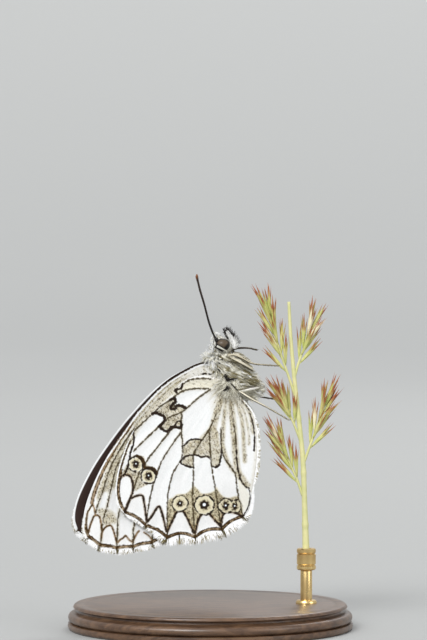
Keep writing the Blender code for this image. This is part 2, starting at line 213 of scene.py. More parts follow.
def add_node(tree, kind, inputs=None, **settings):
    """A shader node with its settings. Each input is a plain value or another node's output."""
    made = tree.nodes.new(kind)
    for name, value in settings.items():
        setattr(made, name, value)
    for key, value in (inputs or {}).items():
        if isinstance(value, bpy.types.NodeSocket):
            tree.links.new(value, made.inputs[key])
        else:
            made.inputs[key].default_value = value
    return made


def maths(tree, operation, *values):
    """A Math node's result."""
    return add_node(tree, "ShaderNodeMath", dict(enumerate(values)), operation=operation).outputs[0]


def plus(tree, a, b):
    """a + b."""
    return maths(tree, "ADD", a, b)


def times(tree, a, b):
    """a times b."""
    return maths(tree, "MULTIPLY", a, b)


def object_place(tree):
    """Where a point lies on its object, in metres."""
    return add_node(tree, "ShaderNodeTexCoord").outputs["Object"]


def drawn_out(tree, where, scale):
    """A place with each axis times its own scale, so that a pattern read there is long one way."""
    return add_node(tree, "ShaderNodeMapping", {0: where, "Scale": scale}).outputs[0]


def noise(tree, where, scale, detail, output="Fac", **more):
    """Soft random clouds, about scale of them to each unit of the place, with finer ones by detail."""
    inputs = {"Vector": where, "Scale": scale, "Detail": detail, **more}
    return add_node(tree, "ShaderNodeTexNoise", inputs).outputs[output]


def ramp(tree, value, low, high):
    """0 where value is at low and 1 where it is at high, eased between."""
    inputs = {"Value": value, "From Min": low, "From Max": high}
    return add_node(tree, "ShaderNodeMapRange", inputs, interpolation_type="SMOOTHSTEP").outputs[0]


def blend(tree, share, under, over):
    """The colour under, with that share of the colour over."""
    inputs = {0: share, 6: colour(under), 7: colour(over)}
    return add_node(tree, "ShaderNodeMix", inputs, data_type="RGBA").outputs[2]


def colour(value):
    """A socket as it is, or a plain colour with its alpha."""
    return value if isinstance(value, bpy.types.NodeSocket) else (*value[:3], 1.0)


def read(tree, name):
    """A per-point value of the mesh."""
    return add_node(tree, "ShaderNodeAttribute", attribute_name=name).outputs["Fac"]


def material(name, roughness, **constants):
    """A new material, its node tree and its Principled shader, with plain values in the named sockets."""
    made = bpy.data.materials.new(name)
    made.use_nodes = True
    shader = made.node_tree.nodes["Principled BSDF"]
    shader.inputs["Roughness"].default_value = roughness
    for key, value in constants.items():
        shader.inputs[key.replace("_", " ")].default_value = value
    return made, made.node_tree, shader


def shaded(tree, tone, level):
    """A colour times a brightness."""
    return add_node(tree, "ShaderNodeVectorMath", {0: tone, 1: level}, operation="MULTIPLY").outputs[0]


def paint(tree, shader, tone, height=None, strength=0.0, depth=0.0, sunken=False):
    """Gives a shader its colour and, from a height, relief: depth metres to a height of 1, times strength."""
    tree.links.new(tone, shader.inputs["Base Color"])
    if height is not None:
        inputs = {"Height": height, "Strength": strength, "Distance": depth}
        relief = add_node(tree, "ShaderNodeBump", inputs, invert=sunken)
        tree.links.new(relief.outputs[0], shader.inputs["Normal"])


def group(name, inputs, outputs):
    """An empty shader node group with those named inputs (and their defaults) and outputs."""
    tree = bpy.data.node_groups.new(name, "ShaderNodeTree")
    for key, value in inputs.items():
        kind = "NodeSocketFloat" if isinstance(value, (int, float)) else "NodeSocketColor"
        tree.interface.new_socket(key, in_out="INPUT", socket_type=kind).default_value = value
    for key, kind in outputs.items():
        tree.interface.new_socket(key, in_out="OUTPUT", socket_type=f"NodeSocket{kind}")
    return tree, tree.nodes.new("NodeGroupInput").outputs, tree.nodes.new("NodeGroupOutput").inputs


# Scales lie like roof tiles, 0.06 wide and 0.12 long, in rows across the wing. Random and Shade differ
# from scale to scale, Ragged frays a marking's edge by whole scales, and Height is their relief.
scale_tiles, tile_in, tile_out = group(
    "scale_tiles",
    {"Width": 0.06, "Length": 0.12},
    {"Random": "Float", "Shade": "Float", "Ragged": "Float", "Height": "Float"},
)
# Rows run this far off level, in radians.
ROW_SLANT = 0.35
TO_MILLIMETRES = 1000
where = object_place(scale_tiles)
tilted = add_node(
    scale_tiles, "ShaderNodeVectorRotate", {"Vector": where, "Angle": ROW_SLANT}, rotation_type="Y_AXIS",
)
axes = add_node(scale_tiles, "ShaderNodeSeparateXYZ", {0: tilted.outputs[0]}).outputs
across = maths(scale_tiles, "DIVIDE", times(scale_tiles, axes["X"], TO_MILLIMETRES), tile_in["Width"])
down = maths(scale_tiles, "DIVIDE", times(scale_tiles, axes["Z"], TO_MILLIMETRES), tile_in["Length"])
cells = add_node(scale_tiles, "ShaderNodeCombineXYZ", {"X": across, "Y": down})
tiles = add_node(
    scale_tiles, "ShaderNodeTexVoronoi", {"Vector": cells.outputs[0], "Scale": 1.0, "Randomness": 0.75}
)
picks = add_node(scale_tiles, "ShaderNodeSeparateColor", {0: tiles.outputs["Color"]}).outputs
clumps = noise(scale_tiles, cells.outputs[0], 0.33, 2.0)
scattered = plus(scale_tiles, times(scale_tiles, picks["Red"], 0.55), clumps)
scale_tiles.links.new(maths(scale_tiles, "SUBTRACT", scattered, 0.28), tile_out["Random"])
scale_tiles.links.new(picks["Green"], tile_out["Shade"])
torn = noise(scale_tiles, where, 3600.0, 1.5)
frayed = plus(scale_tiles, times(scale_tiles, picks["Blue"], 0.45), times(scale_tiles, torn, 1.7))
scale_tiles.links.new(maths(scale_tiles, "SUBTRACT", frayed, 1.08), tile_out["Ragged"])
scale_tiles.links.new(maths(scale_tiles, "SUBTRACT", 1.0, tiles.outputs["Distance"]), tile_out["Height"])

WHITE_SCALES = (0.80, 0.806, 0.808)
CREAM_SCALES = (0.78, 0.73, 0.54)
DUSTED_SCALES = (0.50, 0.44, 0.29)
GREY_SCALES = (0.088, 0.064, 0.036)
OCHRE_SCALES = (0.25, 0.145, 0.045)
BROWN_SCALES = (0.050, 0.026, 0.007)
DARK_SCALES = (0.021, 0.012, 0.007)
VEIN_SCALES = (0.060, 0.043, 0.018)
# Painted shade of the wing's folds.
FOLD_SHADE = (0.58, 0.62, 0.62)
SPARK_SCALES = (0.86, 0.90, 0.95)
UPPER_SCALES = (0.034, 0.019, 0.015)


def finish_scales(tree, shader, tiles, tone):
    """Gives scales their slight difference in tone, 0.10 Shade + 0.92 of it, and their tiled relief."""
    level = plus(tree, times(tree, tiles["Shade"], 0.10), 0.92)
    paint(tree, shader, shaded(tree, tone, level), tiles["Height"], 0.35, 0.00003)


underside, tree, shader = material("wing_underside", 0.75, Sheen_Weight=0.04, Specular_IOR_Level=0.12)
tiles = add_node(tree, "ShaderNodeGroup", node_tree=scale_tiles).outputs
fray = times(tree, tiles["Ragged"], 0.17)
# The dusting is thinner and thicker in patches half a millimetre wide.
patches = {"Value": noise(tree, object_place(tree), 1900.0, 2.0), "From Min": 0.3, "From Max": 0.7}
patches = add_node(tree, "ShaderNodeMapRange", {**patches, "To Min": 0.70, "To Max": 1.15}).outputs[0]
dust = times(tree, read(tree, "dust"), patches)
# Painted shade: faint cool grey streaks where the wing's folds would be shaded, drawn in colour on the flat
# membrane.
tone = blend(tree, times(tree, read(tree, "fold_shade"), 0.22), WHITE_SCALES, FOLD_SHADE)
tone = blend(tree, read(tree, "cream"), tone, CREAM_SCALES)
tone = blend(tree, dust, tone, DUSTED_SCALES)
specks = ramp(tree, maths(tree, "SUBTRACT", times(tree, dust, 0.52), tiles["Random"]), -0.03, 0.05)
tone = blend(tree, times(tree, specks, 0.85), tone, GREY_SCALES)
tone = blend(tree, read(tree, "ochre"), tone, OCHRE_SCALES)
INKS = (("vein", VEIN_SCALES, 0.97), ("brown", BROWN_SCALES, 1.0), ("dark", DARK_SCALES, 1.0))
for key, ink, strength in INKS:
    edge = plus(tree, read(tree, key), fray)
    tone = blend(tree, times(tree, ramp(tree, edge, 0.04, -0.03), strength), tone, ink)
bare = ramp(tree, plus(tree, read(tree, "bare"), times(tree, fray, 0.6)), 0.02, -0.03)
tone = blend(tree, bare, tone, WHITE_SCALES)
tone = blend(tree, ramp(tree, read(tree, "spark"), 0.03, -0.03), tone, SPARK_SCALES)
finish_scales(tree, shader, tiles, tone)

upperside, tree, shader = material("wing_upperside", 0.75, Sheen_Weight=0.04, Specular_IOR_Level=0.12)
tiles = add_node(tree, "ShaderNodeGroup", node_tree=scale_tiles).outputs
rim = plus(tree, read(tree, "rim"), times(tree, tiles["Ragged"], 0.5))
tone = blend(tree, ramp(tree, rim, 2.2, 3.0), UPPER_SCALES, WHITE_SCALES)
tone = blend(tree, ramp(tree, read(tree, "front"), 0.24, 0.14), tone, WHITE_SCALES)
tone = blend(tree, ramp(tree, read(tree, "vein"), 0.12, 0.04), tone, UPPER_SCALES)
finish_scales(tree, shader, tiles, tone)

# The hindwing: vein ends on the margin, from the front corner to the tail corner, and how far the
# margin draws in between them.
HIND_VEIN_ENDS = np.array([
    (-12.20, -15.65), (-9.68, -17.26), (-7.16, -18.72), (-3.80, -18.64), (-0.56, -17.70), (1.90, -16.15),
])
HIND_SCALLOPS = (0.18, 0.20, 0.48, 0.38, 0.22)
HIND_FRONT = (
    (0.35, -0.50), (-0.45, 0.15), (-1.20, 0.42), (-2.60, 0.78), (-4.30, 0.50), (-5.80, -0.35),
    (-7.50, -1.82), (-9.30, -3.58), (-10.85, -5.40), (-11.90, -7.70), (-12.62, -9.80), (-13.03, -11.70),
    (-13.12, -13.20), (-12.85, -14.60), (-12.20, -15.65),
)
HIND_BACK = (
    (1.90, -16.10), (2.55, -15.30), (2.90, -14.00), (2.98, -12.80), (3.35, -10.60), (3.55, -8.50),
    (3.55, -6.30), (3.35, -4.80), (2.92, -3.52), (2.00, -2.28), (1.05, -1.14), (0.35, -0.50),
)
HIND_TIPS = smooth_line((
    (-11.10, -5.75), (-12.12, -7.80), (-12.82, -9.80), (-13.22, -11.80), (-13.30, -13.40), (-13.00, -14.90),
    (-11.90, -16.25), (-10.20, -17.30), (-8.80, -18.55), (-7.30, -19.62), (-5.50, -19.55), (-3.70, -19.42),
    (-2.00, -19.15), (-0.60, -18.80), (0.90, -18.05), (2.30, -16.90), (3.10, -15.50), (3.30, -13.90),
    (3.25, -12.40),
))


def scalloped(ends, draws):
    """The margin between vein ends: their chord, drawn in by draw times sin(pi t) across it."""
    t = np.linspace(0, 1, 14, endpoint=False)[:, None]
    parts = []
    for a, b, draw in zip(ends, ends[1:], draws):
        inward = np.array([a[1] - b[1], b[0] - a[0]]) / np.linalg.norm(b - a)
        parts.append(a + (b - a) * t + inward * draw * np.sin(math.pi * t) ** 1.3)
    return np.vstack([*parts, ends[-1]])


hind_margin = scalloped(HIND_VEIN_ENDS, HIND_SCALLOPS)
hind_outline = np.vstack([smooth_line(HIND_FRONT)[:-1], hind_margin[:-1], smooth_line(HIND_BACK)[:-1]])

# Veins from the root or the cell to the margin.
HIND_VEINS = (
    ((-1.2, 0.25), (-2.9, 0.42), (-4.3, 0.25), (-5.4, -0.3)),
    ((-2.2, -0.8), (-4.0, -0.82), (-5.4, -1.15), (-6.7, -2.1), (-8.0, -3.0), (-9.4, -4.3), (-11.1, -5.9)),
    (
        (-2.0, -0.9), (-3.3, -1.8), (-4.6, -2.95), (-5.4, -3.6), (-6.8, -4.2), (-8.0, -5.2), (-10.3, -7.4),
        (-11.1, -8.2),
    ),
    ((-6.2, -5.3), (-6.9, -6.0), (-8.3, -7.8), (-9.4, -9.2), (-10.4, -10.7), (-11.1, -12.8), (-12.2, -15.7)),
    ((-5.45, -5.9), (-6.7, -7.7), (-7.8, -9.5), (-8.7, -11.9), (-9.3, -14.5), (-9.7, -17.2)),
    (
        (-5.4, -3.6), (-5.45, -5.9), (-5.3, -7.5), (-5.4, -9.1), (-6.4, -10.8), (-7.0, -13.2),
        (-7.1, -15.5), (-7.15, -18.6),
    ),
    (
        (-0.8, -2.0), (-1.4, -4.0), (-2.1, -5.6), (-3.3, -7.4), (-4.0, -8.7), (-4.0, -11.0), (-4.1, -14.0),
        (-3.85, -18.5),
    ),
    ((-2.1, -5.6), (-2.05, -7.5), (-1.95, -9.0), (-1.7, -11.0), (-1.35, -13.0), (-1.0, -15.5), (-0.6, -17.6)),
    ((-0.75, -5.5), (-0.6, -8.3), (0.2, -9.8), (0.95, -10.9), (1.1, -12.0), (1.4, -14.0), (1.9, -16.1)),
    ((0.2, -1.2), (0.55, -3.6), (0.95, -6.0), (1.05, -7.9)),
)
# The line just inside the front edge, the anal lines, and the broken band's dark borders.
HIND_LINES = (
    (0.12, ((-11.1, -5.9), (-11.12, -7.2), (-11.45, -8.3), (-11.65, -9.4), (-11.95, -10.4), (-12.25, -11.1))),
    (0.09, ((1.05, -7.9), (1.15, -9.3), (1.3, -10.4), (1.6, -11.6), (2.1, -12.4), (2.6, -12.6))),
    (0.07, ((2.6, -12.6), (2.72, -13.9), (2.4, -15.1), (1.95, -15.9))),
    (0.06, ((1.0, -1.5), (2.4, -3.0), (2.95, -4.4))),
    (0.10, ((2.95, -4.4), (3.2, -5.8), (3.25, -7.0), (3.2, -8.1))),
)
HIND_MARKS = (
    (0.14, ((-5.3, -0.35), (-5.5, -0.8), (-6.15, -0.95), (-5.95, -1.3))),
    (0.19, (
        (-6.75, -2.1), (-6.3, -2.0), (-6.15, -2.4), (-6.55, -2.8), (-6.7, -3.2), (-6.2, -3.2),
        (-6.05, -2.85), (-5.5, -2.85), (-4.95, -3.1),
    )),
    (0.18, (
        (-8.85, -3.8), (-8.4, -3.65), (-8.0, -3.9), (-7.6, -4.0), (-7.4, -4.45), (-7.7, -4.95),
        (-8.0, -5.25), (-7.8, -5.55), (-7.3, -5.85), (-6.95, -5.8), (-6.6, -5.4), (-6.0, -5.4),
        (-5.6, -5.45), (-5.4, -5.1),
    )),
    (0.09, ((-6.2, -5.2), (-6.0, -4.8), (-5.6, -4.65), (-5.4, -4.9))),
    (0.10, ((-5.3, -7.65), (-4.9, -7.4), (-4.6, -7.0), (-4.2, -6.85), (-3.5, -6.8), (-3.1, -6.95))),
    (0.10, (
        (-5.3, -9.0), (-4.7, -8.8), (-4.1, -8.7), (-3.6, -8.7), (-3.0, -8.98), (-2.6, -8.85), (-2.0, -9.05),
    )),
    (0.11, ((-5.1, -9.1), (-5.5, -9.4), (-5.5, -9.7), (-5.1, -9.9), (-4.5, -10.1), (-4.05, -10.2))),
    (0.13, ((-1.75, -10.1), (-1.4, -10.12), (-1.0, -9.9), (-0.85, -9.3), (-0.7, -8.6), (-0.65, -8.1))),
)
HIND_DUSTED = (
    (
        (-8.8, -3.8), (-7.9, -3.1), (-7.2, -2.4), (-6.8, -2.1), (-6.2, -2.0), (-6.1, -2.8), (-5.0, -3.1),
        (-5.35, -3.6), (-5.45, -4.3), (-5.35, -5.2), (-6.2, -5.3), (-7.0, -5.8), (-8.0, -5.3), (-7.5, -4.6),
        (-7.6, -4.0), (-8.2, -3.8),
    ),
    (
        (-5.3, -7.6), (-4.6, -7.0), (-3.6, -6.8), (-3.0, -6.9), (-2.4, -6.4), (-2.0, -5.6), (-1.8, -5.2),
        (-1.5, -5.2), (-1.2, -5.7), (-1.0, -6.2), (-0.95, -7.0), (-0.75, -8.0), (-0.8, -9.2), (-1.0, -9.8),
        (-1.4, -10.0), (-1.7, -10.1), (-1.85, -9.6), (-2.0, -9.0), (-3.0, -9.0), (-3.5, -8.8), (-4.0, -8.9),
        (-4.05, -10.1), (-4.5, -10.1), (-5.4, -9.7), (-5.2, -9.0),
    ),
    (
        (-7.1, -17.2), (-7.05, -14.3), (-6.4, -13.8), (-5.9, -13.4), (-5.0, -13.35), (-4.4, -12.9),
        (-4.0, -12.4), (-3.5, -12.8), (-3.0, -13.3), (-2.0, -13.2), (-1.5, -12.9), (-1.3, -12.5),
        (-1.0, -13.0), (-0.5, -13.6), (0.3, -13.8), (1.35, -13.7), (1.75, -15.9), (-0.7, -17.3),
        (-3.9, -18.2), (-7.0, -18.0),
    ),
    (
        (-12.6, -11.2), (-12.2, -10.3), (-11.75, -9.6), (-11.5, -9.1), (-11.0, -8.7), (-9.9, -8.9),
        (-9.5, -9.9), (-8.5, -10.3), (-8.5, -11.7), (-9.4, -12.2), (-10.4, -12.7), (-10.9, -13.0),
        (-11.2, -12.2), (-11.4, -11.3),
    ),
)
# White lenses that stand on the margin between vein ends, each under a pointed arch.
HIND_LENSES = (
    (
        (-12.75, -11.5), (-12.3, -11.15), (-11.7, -11.15), (-11.35, -11.6), (-11.2, -12.7), (-11.45, -13.7),
        (-12.1, -15.2),
    ),
    ((-12.1, -15.4), (-11.7, -14.2), (-11.2, -13.75), (-10.2, -13.5), (-9.9, -14.2), (-9.55, -16.6)),
    ((-9.55, -16.7), (-9.05, -16.1), (-8.55, -15.3), (-8.1, -14.85), (-7.75, -15.6), (-7.2, -17.8)),
    ((-7.1, -17.8), (-6.4, -16.3), (-6.0, -15.5), (-5.3, -15.4), (-4.85, -16.0), (-3.95, -18.0)),
    ((-3.8, -18.0), (-3.4, -16.4), (-2.85, -15.65), (-2.25, -15.65), (-1.5, -16.4), (-0.68, -17.3)),
    ((-0.72, -17.0), (-0.5, -15.85), (0.0, -15.5), (1.0, -15.6), (1.85, -16.0)),
)
# Eyespots: middle, outer radius, pupil radius across and along, spark radius.
EYESPOTS = (
    ((-10.85, -9.80), 0.90, 0.36, 0.42, 0.09),
    ((-9.35, -11.20), 0.91, 0.36, 0.42, 0.09),
    ((-5.60, -14.50), 0.94, 0.34, 0.34, 0.09),
    ((-2.72, -14.66), 1.18, 0.50, 0.50, 0.19),
    ((-0.17, -14.75), 0.90, 0.33, 0.48, 0.12),
    ((0.90, -14.80), 0.78, 0.28, 0.44, 0.10),
)
# Olive streaks that run down from the root: the half width and the line of each.
ROOT_STREAKS = (
    (0.24, ((-0.5, -1.4), (-0.75, -2.1), (-1.4, -4.3), (-1.85, -5.7), (-3.2, -7.2))),
    (0.05, ((-0.1, -1.4), (-0.35, -4.0), (-0.5, -6.3), (-0.5, -7.6), (0.2, -9.7), (1.1, -10.9))),
    (0.20, ((0.3, -1.2), (0.7, -4.8), (0.9, -7.1), (1.2, -10.3), (1.8, -11.5), (2.4, -12.3))),
    (0.04, ((0.6, -1.2), (1.5, -3.5), (1.9, -5.7), (2.0, -7.8), (2.1, -9.4))),
    (-0.06, ((0.8, -1.2), (2.0, -3.5), (2.5, -5.7), (2.6, -7.4))),
    (0.04, ((1.0, -1.4), (2.3, -2.9), (2.9, -4.4), (3.1, -6.0))),
)
# Outlines of the dusted band inside the front edge, and of the cream patch before the tail corner.
FRONT_BAND = ((-1.2, 0.3), (-4.0, 0.3), (-6.0, -0.9), (-6.3, -1.7), (-4.2, -0.85), (-1.8, -0.75))
TAIL_PATCH = np.array(((1.2, -10.8), (1.9, -12.3), (2.7, -13.3), (2.6, -14.6), (1.9, -15.6), (1.4, -13.5)))
# Ways from the two front eyespots to the side of each that faces the root.
ROOT_SIDES = ((0.80, 0.60), (0.50, 0.87))


def raise_to(values, key, least):
    """Raises a value to at least this."""
    values[key] = np.maximum(values[key], least)


def lower_to(values, key, most):
    """Lowers a value to at most this."""
    values[key] = np.minimum(values[key], most)


def eyespot_values(spots, values):
    """Adds ringed eyespots: a dark ring at the outer radius, cream inside, a black pupil, a pale spark."""
    p, q = spots.T
    gap = np.full(len(spots), 9.0)
    for middle, radius, *_ in EYESPOTS:
        gap = np.minimum(gap, np.linalg.norm(spots - middle, axis=1) - radius)
    wobble = 0.06 * np.sin(4.3 * p + 2.0) * np.cos(5.1 * q) + 0.04 * np.sin(9 * spots.sum(1))
    gap = gap + wobble
    values["dust"] = np.where(gap < 0, 0.34, values["dust"])
    for key in ("vein", "brown", "dark"):
        values[key] = np.where(gap < 0, 1.0, values[key])
    values["ochre"] = np.where(gap < 0, 0.0, values["ochre"])
    raise_to(values, "cream", smoothstep(-gap / 0.25))
    lower_to(values, "dark", np.abs(gap) - 0.082)
    # The two in front have a brown cloud on that side of the ring.
    for (middle, radius, *_), root_side in zip(EYESPOTS, ROOT_SIDES):
        facing = (spots - middle) @ root_side / radius
        cloud = np.linalg.norm(spots - middle, axis=1) - radius - 0.02
        lower_to(values, "brown", np.abs(cloud) - 0.25 * smoothstep(1.6 * facing - 0.4))
    for middle, radius, across, along, spark in EYESPOTS:
        offset = spots - middle
        ragged = 0.09 * np.sin(13.0 * p + 4.0 * q) + 0.08 * np.cos(15.0 * q - 6.0 * p)
        pupil = (np.linalg.norm(offset / (across, along), axis=1) - 1.05 - 1.4 * ragged) * across
        lower_to(values, "dark", pupil)
        raise_to(values, "dust", 0.95 * smoothstep(1 - pupil / 0.38) * (gap < -0.12))
        lower_to(values, "spark", np.linalg.norm(offset - (0, 0.05), axis=1) - spark)


def nearest_of(spots, lines):
    """The least distance to any of the lines, less each line's half width, or FAR where that is less."""
    found = np.full(len(spots), FAR)
    for half, points in lines:
        found = np.minimum(found, distance_to(spots, smooth_line(points, 6)) - half)
    return found


def painted_fold_shade(spots):
    """Painted shade of faint folds that fan out from the root: sin(n a + w(r)), with a the angle and r the
    reach from it.
    """
    p, q = spots.T
    a, r = np.arctan2(p - 1.0, 1.5 - q), np.hypot(p - 1.0, q - 1.5)
    waves = np.sin(61 * a + 2.1 * np.sin(0.45 * r)) + 0.7 * np.sin(103 * a + 1.3 * np.cos(0.6 * r))
    return smoothstep(0.45 + 0.4 * waves) * (0.6 + 0.4 * np.sin(0.9 * r + 9 * a))


def hindwing_values(spots):
    """Per-point values of the hindwing's underside: distances to its lines, and shares of its tints."""
    p, q = spots.T
    rim = depth_in(spots, hind_outline)
    margin = distance_to(spots, hind_margin)
    values = {"rim": rim, "spark": np.full(len(spots), 1.0)}
    # Near the root the veins behind the cell are thin and pale.
    fading = 0.08 * smoothstep((q + 5.5) / 2.0) * smoothstep((p + 1.95) / 0.3)
    values["vein"] = nearest_of(spots, [(0.096, line) for line in HIND_VEINS]) + fading
    values["dark"] = nearest_of(spots, HIND_MARKS + HIND_LINES)
    values["front"] = distance_to(spots, smooth_line(HIND_FRONT))
    margin = np.minimum(margin, np.where(q < -6.9, values["front"], FAR))
    values["bare"] = np.full(len(spots), 1.0)
    knot = np.linalg.norm(spots[:, None] - HIND_VEIN_ENDS, axis=2).min(1)
    lines = np.minimum(np.abs(margin - 0.07) - 0.085, np.abs(margin - 0.31) - 0.080)
    # High on the front edge there is one line only: the line just inside that edge takes the second's place.
    single = q > -10.4
    lines = np.where(single, np.abs(margin - 0.12) - 0.105, lines)
    values["brown"] = np.minimum(lines, np.maximum(margin - 0.42, knot - 0.24))
    values["ochre"] = 0.85 * smoothstep(1.5 - np.abs(margin - 0.19) / 0.13) * ~single
    depths = [depth_in(spots, smooth_loop(loop)) for loop in HIND_DUSTED]
    dust = 0.80 * smoothstep(0.5 + np.max(depths, axis=0) / 0.22)
    low_patch = smoothstep(0.5 + depths[2] / 0.3)
    dust = np.maximum(dust, 0.92 * low_patch)
    lens = np.full(len(spots), FAR)
    bare = np.full(len(spots), -1.0)
    for points in HIND_LENSES:
        arch = smooth_line(points, 6)
        lens = np.minimum(lens, distance_to(spots, arch) - 0.14)
        bare = np.maximum(bare, depth_in(spots, np.vstack([arch, nearest(arch[::-1], hind_margin)[0]])))
    dust *= smoothstep(0.5 - bare / 0.15)
    low_patch *= smoothstep(0.5 - bare / 0.15)
    lower_to(values, "dark", np.where(p > -9.9, lens + 0.02, lens + 0.03))
    raise_to(values, "ochre", 0.7 * smoothstep(1.0 - lens / 0.09))
    root = np.linalg.norm((spots - (0.4, -0.4)) / (1.0, 1.6), axis=1)
    turn = np.arctan2(p - 0.4, 0.9 - q)
    streaks = nearest_of(spots, ROOT_STREAKS)
    dust = np.maximum(dust, 0.84 * smoothstep(1 - streaks / 0.42))
    rays = 0.60 + 0.26 * np.sin(34 * turn + 0.7 * np.sin(2 * q)) + 0.12 * np.sin(71 * turn)
    dust = np.maximum(dust, rays * smoothstep(1.55 - root / 2.3))
    dust = np.maximum(dust, 0.42 * smoothstep(1.0 - values["vein"] / 0.22) * smoothstep((q + 14) / 9))
    by_front = smoothstep(1.3 - values["front"] / 0.6) * smoothstep((-p - 5.2) / 1.0) * (q > -7.5)
    dust = np.maximum(dust, 0.74 * by_front)
    back = distance_to(spots, smooth_line(HIND_BACK[3:]))
    dust = np.maximum(dust, 0.38 * smoothstep(1.2 - back / 0.5))
    front_band = depth_in(spots, smooth_line(FRONT_BAND, 4))
    dust = np.maximum(dust, (0.40 + 0.14 * np.sin(16 * q + 5 * p)) * smoothstep(0.5 + front_band / 0.3))
    values["dust"] = np.maximum(dust, 0.03)
    values["fold_shade"] = painted_fold_shade(spots)
    values["cream"] = np.maximum.reduce([
        0.9 * low_patch,
        0.45 * smoothstep(0.5 + front_band / 0.3),
        0.35 * smoothstep(0.5 + depth_in(spots, TAIL_PATCH) / 0.3),
        0.75 * smoothstep(1 - margin / 0.42),
    ])
    eyespot_values(spots, values)
    return values


# The forewing: only its front strip and its tip show beyond the hindwing.
FORE_VEIN_ENDS = np.array([
    (-16.72, -18.52), (-15.20, -19.72), (-13.10, -20.02), (-11.20, -19.87), (-8.95, -19.37),
    (-6.60, -18.37), (-4.30, -16.97), (-2.70, -14.91),
])
FORE_SCALLOPS = (0.04, 0.06, 0.08, 0.10, 0.10, 0.08, 0.06)
FORE_FRONT = (
    (-0.95, 0.90), (-1.30, 1.85), (-1.90, 2.27), (-3.30, 2.25), (-5.23, 1.36), (-7.18, 0.15),
    (-9.22, -1.74), (-11.66, -4.81), (-13.69, -7.93), (-15.36, -10.95), (-16.60, -13.95), (-17.10, -16.00),
    (-17.10, -17.45), (-16.72, -18.52),
)
FORE_BACK = (
    (-2.70, -14.91), (-1.75, -11.80), (-1.25, -8.00), (-0.90, -4.50), (-0.76, -1.20), (-0.80, 0.35),
    (-0.95, 0.90),
)
FORE_TIPS = smooth_line((
    (-16.65, -13.95), (-17.18, -16.10), (-17.32, -17.75), (-16.95, -19.05), (-15.60, -20.20),
    (-13.20, -20.70), (-11.00, -20.50), (-8.80, -20.00), (-6.40, -18.90), (-4.20, -17.50), (-2.50, -15.20),
    (-1.60, -11.80),
))
fore_margin = scalloped(FORE_VEIN_ENDS, FORE_SCALLOPS)
fore_outline = np.vstack([smooth_line(FORE_FRONT)[:-1], fore_margin[:-1], smooth_line(FORE_BACK)[:-1]])
# The double line along the margin starts where the brown band beside the front edge ends.
FORE_EDGE_LINE = (
    (-16.09, -14.50), (-16.40, -14.96), (-16.72, -15.56), (-16.87, -16.23), (-16.97, -17.17),
    (-16.95, -17.77), (-16.72, -18.52),
)
FORE_VEINS = (
    (
        (-11.1, -5.60), (-12.4, -7.50), (-13.6, -9.60), (-14.3, -11.40), (-14.9, -13.30), (-15.3, -14.40),
        (-15.65, -15.56),
    ),
    (
        (-12.3, -8.40), (-13.2, -10.30), (-13.75, -12.40), (-14.15, -14.20), (-14.4, -15.23),
        (-14.65, -16.12), (-14.9, -17.37), (-15.05, -19.67),
    ),
    ((-10.0, -8.50), (-12.2, -13.00), (-12.95, -16.01), (-13.05, -17.37), (-13.15, -20.02)),
    ((-8.0, -8.50), (-10.2, -13.40), (-11.1, -17.17), (-11.2, -19.87)),
    ((-6.5, -8.50), (-8.4, -13.40), (-8.95, -19.37)),
    ((-5.0, -8.50), (-6.0, -13.40), (-6.6, -18.37)),
)
# Brown arches between the vein ends: the half width and the line of each.
FORE_BROWN = (
    (0.07, ((-16.05, -14.45), (-15.85, -15.01), (-15.73, -15.67), (-15.75, -16.01))),
    (0.10, (
        (-16.50, -17.97), (-16.35, -17.27), (-16.10, -16.61), (-15.85, -16.03), (-15.40, -15.95),
        (-15.15, -16.23), (-15.02, -16.87), (-14.95, -17.57),
    )),
    (0.10, (
        (-15.00, -18.67), (-14.88, -17.92), (-14.55, -17.42), (-14.20, -17.19), (-13.85, -17.17),
        (-13.62, -17.52), (-13.42, -18.17), (-13.15, -19.12),
    )),
    (0.09, (
        (-13.05, -19.17), (-12.70, -18.82), (-12.35, -18.62), (-12.13, -18.35), (-11.90, -18.57),
        (-11.60, -18.92), (-11.25, -19.12),
    )),
    (0.10, ((-11.20, -18.97), (-10.95, -18.47), (-10.70, -18.02), (-10.50, -17.82))),
    (0.08, ((-9.90, -17.97), (-9.40, -18.32), (-9.05, -18.72), (-8.95, -19.17))),
)
# The brown band beside the front edge, the dark marks, and the outlines of the dusted patches.
FORE_BAND = (
    (-11.35, -4.95), (-12.00, -5.90), (-12.90, -7.05), (-13.60, -8.35), (-14.30, -9.60), (-14.95, -10.95),
    (-15.45, -12.25), (-15.85, -13.35), (-16.10, -14.45),
)
FORE_DARK = (
    (0.10, ((-1.0, 1.52), (-1.45, 1.25), (-2.0, 0.92), (-2.5, 0.96), (-3.1, 0.94))),
    (0.30, ((-8.2, -5.2), (-9.0, -7.0), (-8.6, -8.6), (-7.2, -9.2))),
    (0.30, ((-11.6, -11.6), (-10.0, -12.6), (-8.2, -12.4), (-6.2, -13.4))),
)
FORE_DUSTED = (
    (
        (-13.2, -8.00), (-14.2, -10.20), (-15.2, -12.40), (-15.6, -13.70), (-15.4, -14.20), (-14.6, -13.20),
        (-14.0, -13.20), (-13.3, -12.60), (-12.9, -11.00), (-12.4, -9.00),
    ),
    (
        (-15.55, -15.12), (-14.7, -15.12), (-13.8, -15.34), (-13.2, -16.01), (-13.1, -16.87),
        (-13.8, -17.02), (-14.6, -17.17), (-14.9, -16.56), (-15.3, -15.78),
    ),
    ((-9.1, -17.37), (-8.6, -18.47), (-8.0, -18.37), (-8.2, -17.17)),
)

# How wide the dark line along the front edge is, by p.
FRONT_LINE_WIDTH = (
    (-14.6, -13.6, -12.2, -10.8, -9.5, -7.0, -4.0, -2.0), (-0.06, 0.06, 0.16, 0.14, 0.23, 0.31, 0.27, 0.16),
)


